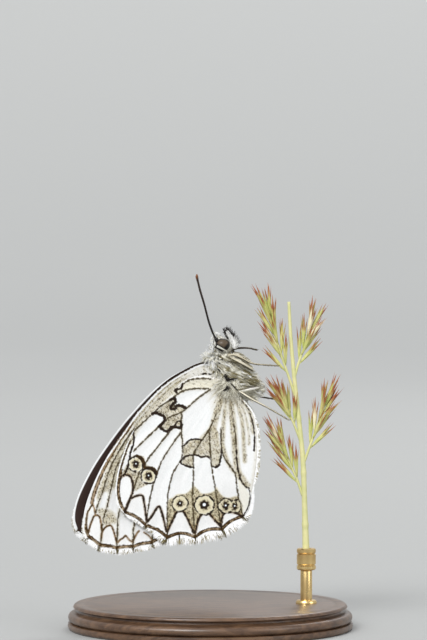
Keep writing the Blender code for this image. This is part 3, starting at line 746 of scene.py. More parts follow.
def forewing_values(spots):
    """Per-point values of the forewing's underside, in the hindwing's terms."""
    p, q = spots.T
    rim = depth_in(spots, fore_outline)
    values = {"rim": rim, "spark": np.full(len(spots), 1.0)}
    values["vein"] = nearest_of(spots, [(0.085, line) for line in FORE_VEINS])
    field = np.vstack([smooth_line(FORE_EDGE_LINE)[:-1], fore_margin, [(4, -10), (4, 9), (-16.1, 9)]])
    margin = depth_in(spots, field)
    margin = np.where((margin < 0) | ((q > -14.5) & (p < -14)), FAR, margin)
    front = distance_to(spots, smooth_line(FORE_FRONT[:11]), 3.0)
    values["front"] = distance_to(spots, smooth_line(FORE_FRONT))
    wide = np.interp(p, *FRONT_LINE_WIDTH)
    values["dark"] = np.minimum(nearest_of(spots, FORE_DARK), front - wide)
    values["bare"] = np.where(p > -15.9, np.abs(front - np.maximum(wide, 0) - 0.11) - 0.085, 1.0)
    knot = np.linalg.norm(spots[:, None] - FORE_VEIN_ENDS, axis=2).min(1)
    gap = np.where(p < -15.6, np.interp(q, (-18.6, -17.5, -16.4, -15.4), (0.27, 0.19, 0.12, 0.03)), 0.27)
    lines = np.minimum(np.abs(margin - 0.07), np.abs(margin - 0.07 - gap)) - 0.083
    double = np.minimum(lines, np.maximum(margin - 0.46, knot - 0.24))
    values["ochre"] = 0.85 * smoothstep(1.5 - np.abs(margin - 0.07 - gap / 2) / 0.14)
    band = distance_to(spots, smooth_line(FORE_BAND))
    raise_to(values, "ochre", 0.85 * smoothstep((0.26 - band) / 0.10))
    arches = nearest_of(spots, FORE_BROWN)
    raise_to(values, "ochre", 0.9 * smoothstep(1.0 - arches / 0.07))
    values["brown"] = np.minimum.reduce([arches + 0.045, double, np.abs(band - 0.15) - 0.055])
    depths = [depth_in(spots, smooth_loop(loop)) for loop in FORE_DUSTED]
    dust = 0.78 * smoothstep(0.5 + np.max(depths, axis=0) / 0.5)
    strip = smoothstep((front - 0.15) / 0.3) * smoothstep((2.1 - front) / 0.35)
    reach = smoothstep((-p - 2.6) / 3.4) * smoothstep((q + 13.0) / 4.0)
    streaky = 0.76 + 0.24 * np.sin(15.0 * front + 0.8 * np.sin(0.9 * q))
    dust = np.maximum(dust, 0.92 * strip * reach * streaky)
    root = np.linalg.norm(spots - (-1.2, 1.4), axis=1)
    dust = np.maximum(dust, (0.42 + 0.2 * np.sin(8 * p + 3 * q)) * smoothstep(1.6 - root / 2.6))
    dust = np.maximum(dust, 0.45 * smoothstep(1.0 - values["vein"] / 0.3))
    dust = np.maximum(dust, 0.36 * strip * smoothstep((p + 7.0) / 2.0))
    values["dust"] = np.maximum(dust, 0.03)
    values["fold_shade"] = painted_fold_shade(spots)
    cream = smoothstep((front - 0.9) / 0.4) * smoothstep((q + 13.0) / 4.0) * smoothstep(-p / 3.0 - 1.2)
    values["cream"] = np.maximum(0.35 * cream, 0.75 * smoothstep(1 - margin / 0.45))
    return values


# How thick a wing is, and how far from the middle plane each pair stands. The far forewing is turned a
# little about a place near its root, and more further out, so that its edge shows beyond the near one.
MEMBRANE = 0.07
FOREWING_Y = 0.42
HINDWING_Y = 0.94
FAR_WING_PIVOT = np.array([-4.0, 1.6])
FAR_WING_TURN = math.radians(4.3)
TURN_REACH = 10.5


def bulge(p, q):
    """How far the wings stand further apart where the body lies between them."""
    return 0.55 * smoothstep((p + 5.5) / 5.5) * smoothstep((q + 17.5) / 6.0)


def spread(spots, turn):
    """Places turned about the far wing's pivot, by turn (1 - e^(-d / TURN_REACH)) at reach d."""
    arm = spots - FAR_WING_PIVOT
    bent = turn * (1 - np.exp(-np.linalg.norm(arm, axis=1) / TURN_REACH))
    cos, sin = np.cos(bent), np.sin(bent)
    p, q = arm.T
    return FAR_WING_PIVOT + np.stack([p * cos - q * sin, p * sin + q * cos], -1)


def wing(name, outline, worth, layer, sign, turn=0.0):
    """A membrane of two faces over the outline, its veins proud and its cells sagging between them."""
    spots, faces, rim = fill_outline(outline)
    values = worth(spots)
    ridge = 0.045 * np.exp(-((values["vein"] / 0.13) ** 2))
    sag = -0.09 * smoothstep(values["vein"] / 1.4) * smoothstep(values["rim"] / 0.8)
    turned = spread(spots, turn)
    away = layer + bulge(*turned.T) + ridge + sag
    p, q = turned.T
    outer = place(p, sign * (away + MEMBRANE / 2), q)
    inner = place(p, sign * (away - MEMBRANE / 2), q)
    count = len(spots)
    sides = np.stack([rim[:, 1], rim[:, 0], rim[:, 0] + count, rim[:, 1] + count], -1)
    all_faces = np.vstack([faces, faces[:, ::-1] + count, sides])
    if sign > 0:
        all_faces = all_faces[:, ::-1]
    under = np.repeat([0, 1, 0], [len(faces), len(faces), len(sides)])
    doubled = {key: np.tile(value, 2) for key, value in values.items()}
    points, finishes = np.vstack([outer, inner]), (underside, upperside)
    return mesh_object(name, points, all_faces, finishes, (name,), doubled, under)


for side, sign in SIDES:
    turn = -FAR_WING_TURN if side == "left" else 0.0
    wing(f"forewing_{side}", fore_outline, forewing_values, FOREWING_Y, sign, turn)
    wing(f"hindwing_{side}", hind_outline, hindwing_values, HINDWING_Y, sign)

# Hair scales stand all round the margin, white, with dark tufts where the veins end. Tone runs from -1,
# black, through 0, olive brown, to 1, cream, and 1.3, white. Shade differs from hair to hair.
hair, tree, shader = material("hair", 0.6, Specular_IOR_Level=0.15, Sheen_Weight=0.10)
tone = blend(tree, ramp(tree, read(tree, "tone"), -1.0, 0.0), (0.018, 0.014, 0.010), (0.27, 0.228, 0.108))
tone = blend(tree, ramp(tree, read(tree, "tone"), 0.0, 1.0), tone, (0.93, 0.908, 0.80))
tone = blend(tree, ramp(tree, read(tree, "tone"), 1.0, 1.3), tone, (0.93, 0.935, 0.94))
level = plus(tree, times(tree, read(tree, "shade"), 0.24), 0.80)
level = plus(tree, level, times(tree, read(tree, "along"), 0.12))
paint(tree, shader, shaded(tree, tone, level))


def hairs(name, roots, ways, lengths, widths, bends, homes, tones, facing=None):
    """Tapered hairs of three sides: root + length (s way + s^2 bend) + width (1 - s)^0.6 (u cos a + v sin a).

    s runs from root to tip, and u and v stand square to the way. Where facing is given, the hairs are flat
    vanes that face that way. Each hair's patch of the map lies at its home. Roots, lengths and widths are
    in the insect's millimetres, and one width or tone may stand for all.
    """
    count = len(roots)
    ways = unit(ways)
    s = np.array([0.0, 0.4, 0.75])
    a = np.arange(3) * 2 * math.pi / 3
    u = unit(np.cross(ways, (0.37, 0.86, 0.35) if facing is None else facing))
    v = np.cross(ways, u) * (1.0 if facing is None else 0.3)
    sides = u[:, None] * np.cos(a)[:, None] + v[:, None] * np.sin(a)[:, None]
    reach = s[:, None] * ways[:, None] + (s**2)[:, None] * bends[:, None]
    middles = roots[:, None] + lengths[:, None, None] * reach
    widths = np.broadcast_to(widths, count)[:, None, None, None] * ((1 - s) ** 0.6)[:, None, None]
    rings = middles[:, :, None] + widths * sides[:, None]
    tips = roots + lengths[:, None] * (ways + bends)
    points = np.concatenate([rings.reshape(count, 9, 3), tips[:, None]], 1)
    k, n = np.arange(3), np.array([1, 2, 0])
    wall = np.concatenate([np.stack([k, n, n + 3], -1), np.stack([k, n + 3, k + 3], -1)])
    pattern = np.concatenate([wall, wall + 3, np.stack([k + 6, n + 6, [9, 9, 9]], -1), [[0, 2, 1]]])
    faces = (np.arange(count)[:, None, None] * 10 + pattern).reshape(-1, 3)
    across = np.append(np.tile(k / 3, 3), 0.5)
    along = np.append(np.repeat(s, 3), 1.0)
    uv = homes[:, None] + 0.003 * np.stack([across, along], -1)
    values = {
        "along": np.tile(along, count),
        "tone": np.repeat(np.broadcast_to(tones, count), 10),
        "shade": np.repeat(rng.random(count), 10),
    }
    points = place(*points.reshape(-1, 3).T)
    piece = mesh_object(name, points, faces, (hair,), (), values, None, uv.reshape(-1, 2))
    if facing is not None:
        piece.data.shade_flat()
    return piece


# Dark tufts stand where the veins end and, on the forewing, at two places by its tip.
FORE_CHECKS = np.vstack([[(-16.9, -16.2), (-16.4, -18.6)], FORE_VEIN_ENDS[1:6]])
MARGIN_POINTS = 400


def fringe(name, margin, tips, checks, count, layer, sign, turn=0.0):
    """Hair scales from spots strewn evenly on the margin to the nearest part of the line of tips."""
    line = spaced(margin, MARGIN_POINTS)
    share = rng.random(count) * (MARGIN_POINTS - 1)
    low = share.astype(int)
    ahead = line[np.minimum(low + 1, MARGIN_POINTS - 1)] - line[low]
    spots = line[low] + (share - low)[:, None] * ahead
    goal = nearest(spots, tips)[0]
    ahead = unit(ahead)
    goal = goal + ahead * rng.normal(0, 0.13, (count, 1)) + 0.10 * np.sin(9 * spots[:, :1]) * ahead
    goal = spots + (goal - spots) * rng.uniform(0.62, 1.0, (count, 1))
    apart = np.linalg.norm(spots[:, None] - checks, axis=2).min(1)
    p = spots[:, 0]
    tipped = rng.random(count) < 0.19 * (1 + np.sin(4.0 * p)) + 0.6 * np.exp(-(((p + 5.6) / 0.30) ** 2))
    spots = np.where(tipped[:, None], spots + rng.uniform(0.25, 0.65, (count, 1)) * (goal - spots), spots)
    here, there = spread(spots, turn), spread(goal, turn)
    away = layer + bulge(*here.T) + rng.uniform(-0.012, 0.012, count)
    roots = stacked(here[:, 0], sign * away, here[:, 1])
    ends = stacked(there[:, 0], sign * (away + rng.normal(0.0, 0.012, count)), there[:, 1])
    lengths = np.linalg.norm(ends - roots, axis=1)
    tones = np.where(tipped, rng.uniform(-0.6, 0.3, count), 1.3)
    tones = np.where(rng.random(count) < 1.0 * np.exp(-((apart / 0.18) ** 2)), -0.6, tones)
    bends = rng.normal(0, 0.07, (count, 3)) * (1, 0.1, 1)
    homes = (spots + (20, 22)) / 26
    hairs(name, roots, ends - roots, lengths, 0.055, bends, homes, tones, (0.0, 1.0, 0.0))


# Fringes run from low on the front edge, round the margin, and up the hindwing's back edge.
HIND_BACK_TIPS = (
    (3.30, -12.4), (3.85, -10.6), (4.02, -8.5), (3.98, -6.3), (3.70, -4.8), (3.15, -3.5), (2.1, -2.2),
)
hind_edge = np.vstack([smooth_line(HIND_FRONT)[82:-1], hind_margin, smooth_line(HIND_BACK)[1:92]])
hind_reach = np.vstack([HIND_TIPS, smooth_line(HIND_BACK_TIPS)])
fore_edge = np.vstack([smooth_line(FORE_FRONT)[112:-1], fore_margin[:-8]])
for side, sign in SIDES:
    turn = -FAR_WING_TURN if side == "left" else 0.0
    fringe(f"coat_fringe_hind_{side}", hind_edge, hind_reach, HIND_VEIN_ENDS, 3600, HINDWING_Y, sign)
    fringe(f"coat_fringe_fore_{side}", fore_edge, FORE_TIPS, FORE_CHECKS, 2600, FOREWING_Y, sign, turn)

# ---------------------------------------------------------------- body
# Head, thorax and abdomen in one skin, soft in life and dried over its form here, under a coat of long
# hair-like scales, white to olive grey, longest on the chest and nape. The skin lies within the coat.

# Level, middle, half depth and half width, coat included, from the tail up.
BODY = np.array((
    (-12.0, 2.45, 0.22, 0.20), (-11.4, 2.40, 0.60, 0.50), (-10.0, 2.20, 1.00, 0.85),
    (-8.00, 1.95, 1.25, 1.05), (-5.50, 1.70, 1.38, 1.15), (-3.50, 1.55, 1.35, 1.15),
    (-2.20, 1.45, 1.32, 1.12), (-1.80, 1.60, 1.90, 1.25), (-1.20, 1.45, 2.65, 1.50),
    (-0.40, 1.05, 3.05, 1.70), (0.60, 0.65, 2.85, 1.80), (1.60, 0.15, 2.65, 1.75),
    (2.40, -0.40, 2.55, 1.60), (3.00, -0.75, 2.15, 1.30), (3.45, -0.68, 1.35, 1.00),
    (3.90, -0.50, 1.45, 1.12), (4.40, -0.50, 1.50, 1.22), (5.00, -0.75, 1.15, 1.05),
    (5.45, -1.10, 0.62, 0.70), (5.85, -1.15, 0.30, 0.32),
))
# How deep the coat is at each level.
COAT_DEPTH = (
    (-12.0, -11.0, -3.0, -1.2, 2.4, 3.4, 4.4, 5.85), (0.10, 0.20, 0.24, 0.55, 0.55, 0.32, 0.25, 0.20),
)
body_line = smooth_line(BODY, 8)


def body_point(q, t, depth):
    """The body's place at level q, turned t from the belly: (m + (D - depth) cos t, (W - depth) sin t, q)."""
    m, deep, wide = (np.interp(q, body_line[:, 0], body_line[:, k]) for k in (1, 2, 3))
    deep, wide = np.maximum(deep - depth, 0.03), np.maximum(wide - depth, 0.03)
    return np.stack([m + deep * np.cos(t), wide * np.sin(t), q], -1)


# A white band runs down the side of the chest from the collar to the belly.
CHEST_BAND = smooth_line(((-0.3, 2.4), (1.1, 1.45), (2.4, 1.0), (3.4, 0.7), (4.4, -0.4)))

# Olive shadows on the flank: the middle, the reach across and along, and how much darker each is.
FUR_SHADOWS = (
    ((2.4, 0.25), (1.5, 0.75), 0.55), ((1.5, 2.4), (1.3, 0.6), 0.45), ((0.2, 1.2), (0.8, 1.0), 0.25),
)


def fur_tone(spots):
    """How white the coat is at (p, y, q): whiter on nape, breast, head and abdomen, olive on the flanks."""
    p, _, q = spots.T
    pale = 0.62 + 0.46 * smoothstep((-p - 0.6) / 1.2) * smoothstep((q - 1.5) / 1.5)
    pale += 0.50 * smoothstep((p - 2.7) / 0.8) + 0.34 * smoothstep((q - 3.6) / 0.8)
    band = distance_to(spots[:, [0, 2]], CHEST_BAND)
    pale += 0.55 * smoothstep(1 - band / 0.45)
    for (a, b), (across, along), less in FUR_SHADOWS:
        pale -= less * np.exp(-((p - a) / across) ** 2 - ((q - b) / along) ** 2)
    return pale + 0.2 * smoothstep((-q - 2.0) / 1.0)


def grid_faces(rows, columns):
    """Quads between neighbouring rings of points, each ring's last point joined to its first."""
    index = np.arange(rows * columns).reshape(rows, columns)
    ahead = np.roll(index, -1, 1)
    return np.stack([index[:-1], ahead[:-1], ahead[1:], index[1:]], -1).reshape(-1, 4)


def closed_piece(name, points, faces, finish, nodes, values=None):
    """A piece that closes at its ends, the points that meet there joined into one."""
    piece = mesh_object(name, points, faces, (finish,), nodes, values)
    shape = bmesh.new()
    shape.from_mesh(piece.data)
    bmesh.ops.remove_doubles(shape, verts=shape.verts, dist=1e-8)
    shape.to_mesh(piece.data)
    shape.free()
    piece.data.shade_smooth()
    return piece


skin, tree, shader = material("skin", 0.75, Specular_IOR_Level=0.2)
grain = noise(tree, object_place(tree), 5200.0, 3.0)
tone = blend(tree, ramp(tree, read(tree, "tone"), 0.0, 1.0), (0.26, 0.23, 0.15), (0.74, 0.73, 0.68))
tone = blend(tree, ramp(tree, grain, 0.25, 0.6), (0.22, 0.19, 0.13), tone)
paint(tree, shader, tone, grain, 0.6, 0.00008)

SKIN_RINGS, SKIN_SIDES = 170, 72
level = np.repeat(np.linspace(-11.98, 5.83, SKIN_RINGS), SKIN_SIDES).reshape(SKIN_RINGS, SKIN_SIDES)
turns = np.broadcast_to(np.linspace(0, 2 * math.pi, SKIN_SIDES, endpoint=False), level.shape)
joints = 0.05 * np.abs(np.sin(math.pi * level / 1.15)) ** 0.5 * (level < -2.0)
skin_spots = body_point(level, turns, np.interp(level, *COAT_DEPTH) + 0.05 - joints)
for end in (0, -1):
    skin_spots[end] = skin_spots[end].mean(0)
skin_spots = skin_spots.reshape(-1, 3)
closed_piece(
    "body_skin", place(*skin_spots.T), grid_faces(SKIN_RINGS, SKIN_SIDES), skin,
    ("head", "thorax", "abdomen"), {"tone": fur_tone(skin_spots)},
)

EYE_PLACE = np.array([-0.52, 0.80, 4.42])
EYE_RADII = np.array([0.87, 0.70, 0.76])
# How many hairs make a lock, and where the streaming coat gathers, before the belly.
LOCK = 9
GATHERING = np.array([5.2, 0.0, -0.7])


def coat(name, locks, levels, length, stand, width, scatter=0.22, lift=0.0, keep=None, stream=0.0):
    """Locks of hairs strewn over the body between two levels and laid back towards the tail.

    A lock's way is stand times the outward normal, less the direction up the body (lift turns it up
    instead) or, by the share stream, towards one place before the belly, plus slow waves of the place and
    a little scatter. Its hairs start round its root and end together.
    """
    q = rng.uniform(*levels, locks)
    t = rng.uniform(0, 2 * math.pi, locks)
    sunk = np.interp(q, *COAT_DEPTH) - 0.08
    spots = body_point(q, t, sunk)
    folded = np.stack([spots[:, 0], np.abs(spots[:, 1]), spots[:, 2]], -1)
    kept = (((folded - EYE_PLACE) / EYE_RADII) ** 2).sum(1) > 1.5
    if keep is not None:
        kept &= keep(spots[:, 0], spots[:, 2])
    q, t, sunk, spots = q[kept], t[kept], sunk[kept], spots[kept]
    step = 0.02
    up = body_point(q + step, t, sunk) - body_point(q - step, t, sunk)
    side = body_point(q, t + step, sunk) - body_point(q, t - step, sunk)
    normal = unit(np.cross(side, up))
    waves = stacked(np.sin(4.1 * q + 3 * np.cos(2 * t)), np.sin(5.3 * t + 2 * q), np.cos(6.7 * t - 3.1 * q))
    fore = (stream * smoothstep((np.cos(t) + 0.9) / 0.9))[:, None]
    gathered = GATHERING - spots * (1, 0, 1)
    ways = (1 - fore) * (2 * lift - 1) * unit(up) + fore * unit(gathered)
    ways += stand * normal + (0.24 - 0.14 * stream) * waves + rng.normal(0, scatter, waves.shape)
    # Where the coat streams it is streaked light and dark along its way: partly the coat's mixed pale and
    # olive hairs, partly painted shade for the dark gaps between its strands.
    angle, far = np.arctan2(-gathered[:, 2], -gathered[:, 0]), np.hypot(gathered[:, 2], gathered[:, 0])
    streaks = np.sin(50 * angle + 1.6 * np.sin(2.1 * far))
    streaks += 0.8 * np.sin(113 * angle + 2.2 * np.sin(1.3 * far))
    tones = fur_tone(spots) + 0.33 * stream * streaks + np.where(rng.random(len(q)) < 0.09, -0.6, 0.05)
    tones += rng.normal(0, 0.20 - 0.10 * stream, len(q))
    reach = length * rng.uniform(0.65, 1.1, len(q))
    q, t, tones, reach = (np.repeat(value, LOCK) for value in (q, t, tones, reach))
    ways, normal = np.repeat(ways, LOCK, 0), np.repeat(normal, LOCK, 0)
    count = len(q)
    q = q + rng.normal(0, 0.055, count)
    t = t + rng.normal(0, 0.045, count)
    roots = body_point(q, t, np.interp(q, *COAT_DEPTH) - 0.05)
    gather = np.repeat(roots.reshape(-1, LOCK, 3).mean(1), LOCK, 0) - roots
    bends = 0.7 * gather / reach[:, None] - 0.10 * normal + rng.normal(0, 0.05, (count, 3))
    tones = np.clip(tones + rng.normal(0, 0.10, count), -0.6, 1.25)
    homes = np.stack([t / (2 * math.pi), (q + 12.2) / 18.5], -1) % 1.0 * 0.98
    hairs(name, roots, ways, reach * rng.uniform(0.85, 1.05, count), width, bends, homes, tones)


coat("coat_thorax_long", 760, (-1.9, 3.3), 1.40, 0.16, 0.026, 0.09, stream=1.0)
coat("coat_thorax_under", 900, (-2.1, 3.4), 0.80, 0.35, 0.026, 0.16, stream=0.8)
coat("coat_nape", 300, (2.2, 4.6), 1.00, 0.70, 0.026, 0.24, 0.25, lambda p, q: p < -0.9)
coat("coat_head", 560, (3.3, 5.6), 0.38, 0.60, 0.022, 0.25, 0.35, lambda p, q: p < 0.35 - 1.3 * (q > 4.9))
coat("coat_crown", 130, (4.7, 5.6), 0.42, 0.45, 0.022, 0.28, 0.9, lambda p, q: p < -0.95)
coat("coat_abdomen", 700, (-11.9, -2.0), 0.45, 0.45, 0.022, 0.15)
coat(
    "coat_breast", 620, (-1.9, 2.9), 1.15, 0.95, 0.026, 0.22, 0.1,
    keep=lambda p, q: p > 1.6 + 0.5 * (q < 1.6), stream=0.5,
)

# Painted shadows of black hairs, laid where the hinge's recesses and the gaps at the nape lie in shade: the
# pick above which a hair belongs to each, its start, and its run from there.
HINGE_SHADOWS = (
    (0.00, (-0.10, 1.80, 0.26), (1.35, 0.03, 0.20)),
    (0.36, (-0.34, 1.78, 0.78), (0.42, 0.03, -0.74)),
    (0.58, (0.02, 1.83, -0.62), (-0.50, -0.08, -0.42)),
    (0.78, (0.42, 1.80, -0.10), (0.95, 0.10, -1.02)),
    (0.90, (-1.15, 1.55, 1.55), (0.32, 0.08, -0.27)),
    (0.94, (-0.82, 1.56, 2.66), (0.34, 0.02, 0.14)),
    (0.97, (-1.06, 1.68, 2.36), (0.06, 0.02, -0.20)),
)
for side, sign in SIDES:
    # Long hairs fan out from the hinge over the wing roots, and short black ones are painted shadow in the
    # hinge and at the nape.
    count = 700
    fan = rng.uniform(-3.0, -0.8, count)
    start = stacked(rng.uniform(-0.5, 1.3, count), 1.62, rng.uniform(-1.0, 0.5, count))
    ways = np.stack([np.cos(fan), rng.uniform(-0.01, 0.05, count), np.sin(fan)], -1)
    homes = np.stack([0.25 * (2 + sign) + 0.05 * start[:, 0], 0.5 + 0.05 * start[:, 2]], -1)
    streaks = np.sin(19 * fan + 0.8) + 0.7 * np.sin(43 * fan) + 0.4 * rng.normal(0, 1, count)
    dark = streaks < -0.45 - 0.5 * (fan < -2.3)
    tones = np.where(dark, -0.30, 0.84) + rng.normal(0, 0.12, count)
    hairs(
        f"coat_wing_root_{side}", start * (1, sign, 1), ways * (1, sign, 1),
        rng.uniform(0.8, 2.3, count), 0.020, rng.normal(0, 0.08, (count, 3)), homes, tones,
    )
    # Painted shadow: the black hairs below stand where the hinge and the nape lie in shade.
    count = 460
    share, pick = rng.random((2, count, 1))
    shadow_spot = np.zeros((count, 3))
    for above, start, run in HINGE_SHADOWS:
        along = share if above else share**1.5
        shadow_spot = np.where(pick > above, start + along * run, shadow_spot)
    loose = np.where(pick > 0.78, 0.03, 0.10 * (1.15 - share))
    ways = np.where(pick > 0.78, (0.66, 0.06, -0.72), (0.92, 0.05, 0.12))
    ways = ways * np.where(pick > 0.90, (1, 1, 0.4), 1) + rng.normal(0, 0.16, (count, 3))
    spots = (shadow_spot + rng.normal(0, 1, (count, 3)) * loose) * (1, sign, 1)
    homes = np.stack([0.25 * (2 + sign) + 0.05 * shadow_spot[:, 0], 0.6 + 0.05 * shadow_spot[:, 2]], -1)
    lengths = rng.uniform(0.20, 0.42, count) * (1.15 - share[:, 0])
    bends = rng.normal(0, 0.05, (count, 3))
    hairs(f"coat_hinge_shadow_{side}", spots, ways * (1, sign, 1), lengths, 0.034, bends, homes, -1.0)

# ---------------------------------------------------------------- eyes
# Large round compound eyes of thousands of tiny lenses, brown above and nearly black below, glossy, each
# set in a narrow rim of bare black skin with a crescent of white scales under it.

eye_finish, tree, shader = material(
    "eye", 0.42, Specular_IOR_Level=0.3, Coat_Weight=0.06, Coat_Roughness=0.15,
)
where = object_place(tree)
lenses = {"Vector": where, "Scale": 19000.0, "Randomness": 0.15}
lenses = add_node(tree, "ShaderNodeTexVoronoi", lenses).outputs
clouds = noise(tree, where, 2200.0, 2.0)
height = plus(tree, read(tree, "height"), times(tree, clouds, 0.35))
tone = blend(tree, ramp(tree, height, 0.28, 0.58), (0.007, 0.005, 0.004), (0.088, 0.062, 0.039))
tone = blend(tree, ramp(tree, height, 1.05, 1.35), tone, (0.052, 0.041, 0.035))
tone = blend(tree, ramp(tree, read(tree, "rim"), 0.75, 0.95), tone, (0.010, 0.008, 0.007))
paint(tree, shader, tone, lenses["Distance"], 0.25, 0.00002, sunken=True)

# The glossy eye's size against its place in the head, and how far out the cheek beside it stands.
EYE_SHARE = 0.985
CHEEK_WIDTH = 1.12
EYE_RINGS, EYE_SIDES = 40, 64
# Scales lie in two slanting bars on the eye's lower edge, a white one and a black one under it: the ends of
# each at (p, q), its half width, how many scales, and their tone.
EYE_BARS = (
    ("rim", (-1.22, 4.28), (-0.18, 3.73), 0.085, 420, 1.0),
    ("edge", (-1.48, 4.20), (-0.70, 3.70), 0.09, 320, -1.0),
)
for side, sign in SIDES:
    fall = np.linspace(0, math.pi, EYE_RINGS)[:, None]
    turns = np.linspace(0, 2 * math.pi, EYE_SIDES, endpoint=False)[None]
    # An egg round the sideways axis: (a sin f cos t, b cos f, c sin f sin t).
    egg = EYE_RADII * stacked(np.sin(fall) * np.cos(turns), np.cos(fall), np.sin(fall) * np.sin(turns))
    spots = (EYE_PLACE + egg * EYE_SHARE) * (1, sign, 1)
    faces = grid_faces(EYE_RINGS, EYE_SIDES)
    # Height stands over the slanting lower edge, and falls away towards the face.
    across, _, high = np.moveaxis(egg, -1, 0)
    height = 0.48 * (across + 0.70) + 0.88 * (high + 0.15) - 0.85 * smoothstep((across - 0.05) / 0.75)
    closed_piece(
        f"compound_eye_{side}", place(*spots.reshape(-1, 3).T), faces if sign > 0 else faces[:, ::-1],
        eye_finish, (f"eye_{side}",), {"height": height, "rim": np.sin(fall) + 0 * turns},
    )
    for kind, start, end, thick, count, tone in EYE_BARS:
        start, end = np.array(start), np.array(end)
        ahead = unit(end - start)
        share = rng.random(count)[:, None]
        off = rng.uniform(-1, 1, (count, 1)) * thick * (1.2 - 0.7 * share) * (ahead[::-1] * (-1, 1))
        flat = start + share * (end - start) + off
        ends = [stacked(f[:, 0], 0.0, f[:, 1]) for f in (flat, flat + 0.26 * ahead)]
        for spots in ends:
            # The eye's surface, or the cheek beside it where that stands further out.
            out = 1 - (((spots - EYE_PLACE) / EYE_RADII)[:, [0, 2]] ** 2).sum(1)
            surface = EYE_PLACE[1] + EYE_RADII[1] * np.sqrt(np.maximum(out, 0))
            spots[:, 1] = sign * (np.maximum(surface, CHEEK_WIDTH) + 0.03)
        roots, tips = ends
        homes = 0.5 + 0.25 * sign + 0.05 * flat * (1, -1)
        ways, straight = tips - roots, np.zeros((count, 3))
        lengths = np.linalg.norm(ways, axis=1)
        hairs(f"coat_eye_{kind}_{side}", roots, ways, lengths, 0.030, straight, homes, tone)

# ---------------------------------------------------------------- palps
# Two three-jointed feelers of the mouth, turned up before the face, flat at the sides and covered in white
# scales, with long black bristles down the front and a black pointed last joint.


def rod(line, radii, sides=12, lean=(0.0, 1.0, 0.0), flat=1.0, **values):
    """A closed rod: line(s) + r(s) (u cos a + flat v sin a), v square to line and lean, u nearly along lean.

    Each named value is one number, or one for each point of the line. along runs from 0 to 1 down the rod,
    and under is how far a point of its surface faces down.
    """
    line = np.asarray(line, float)
    count = len(line)
    ahead = unit(np.gradient(line, axis=0))
    v = unit(np.cross(ahead, lean))
    u = np.cross(v, ahead)
    keep = np.array([0, *range(count), count - 1])
    radii = np.broadcast_to(radii, count)[keep] * np.array([0, *np.ones(count), 0])
    a = np.linspace(0, 2 * math.pi, sides, endpoint=False)
    ring = u[keep][:, None] * np.cos(a)[:, None] + flat * v[keep][:, None] * np.sin(a)[:, None]
    points = (line[keep][:, None] + radii[:, None, None] * ring).reshape(-1, 3)
    found = {"along": np.repeat(np.linspace(0, 1, count)[keep], sides), "under": -ring[..., 2].reshape(-1)}
    for key, value in values.items():
        found[key] = np.repeat(np.broadcast_to(value, count)[keep], sides)
    return place(*points.T), grid_faces(len(keep), sides), found


def joined(parts):
    """Several (points, faces, values) made one."""
    starts = np.cumsum([0, *(len(points) for points, *_ in parts)])
    points = np.vstack([part[0] for part in parts])
    faces = np.vstack([part[1] + start for part, start in zip(parts, starts)])
    values = {key: np.concatenate([part[2][key] for part in parts]) for key in parts[0][2]}
    return points, faces, values


palp_finish, tree, shader = material("palp", 0.7, Specular_IOR_Level=0.3)
paint(tree, shader, blend(
    tree, ramp(tree, read(tree, "along"), 0.70, 0.80), (0.74, 0.735, 0.72), (0.02, 0.016, 0.013),
))

PALP_LINES = {
    "right": (
        (0.92, -0.38, 3.90), (0.90, -0.40, 4.55), (0.54, -0.38, 5.25), (0.12, -0.36, 5.95),
        (-0.18, -0.34, 6.50),
    ),
    "left": (
        (0.80, 0.38, 3.90), (0.66, 0.42, 4.55), (0.24, 0.42, 5.20), (-0.22, 0.40, 5.82),
        (-0.52, 0.38, 6.32),
    ),
}
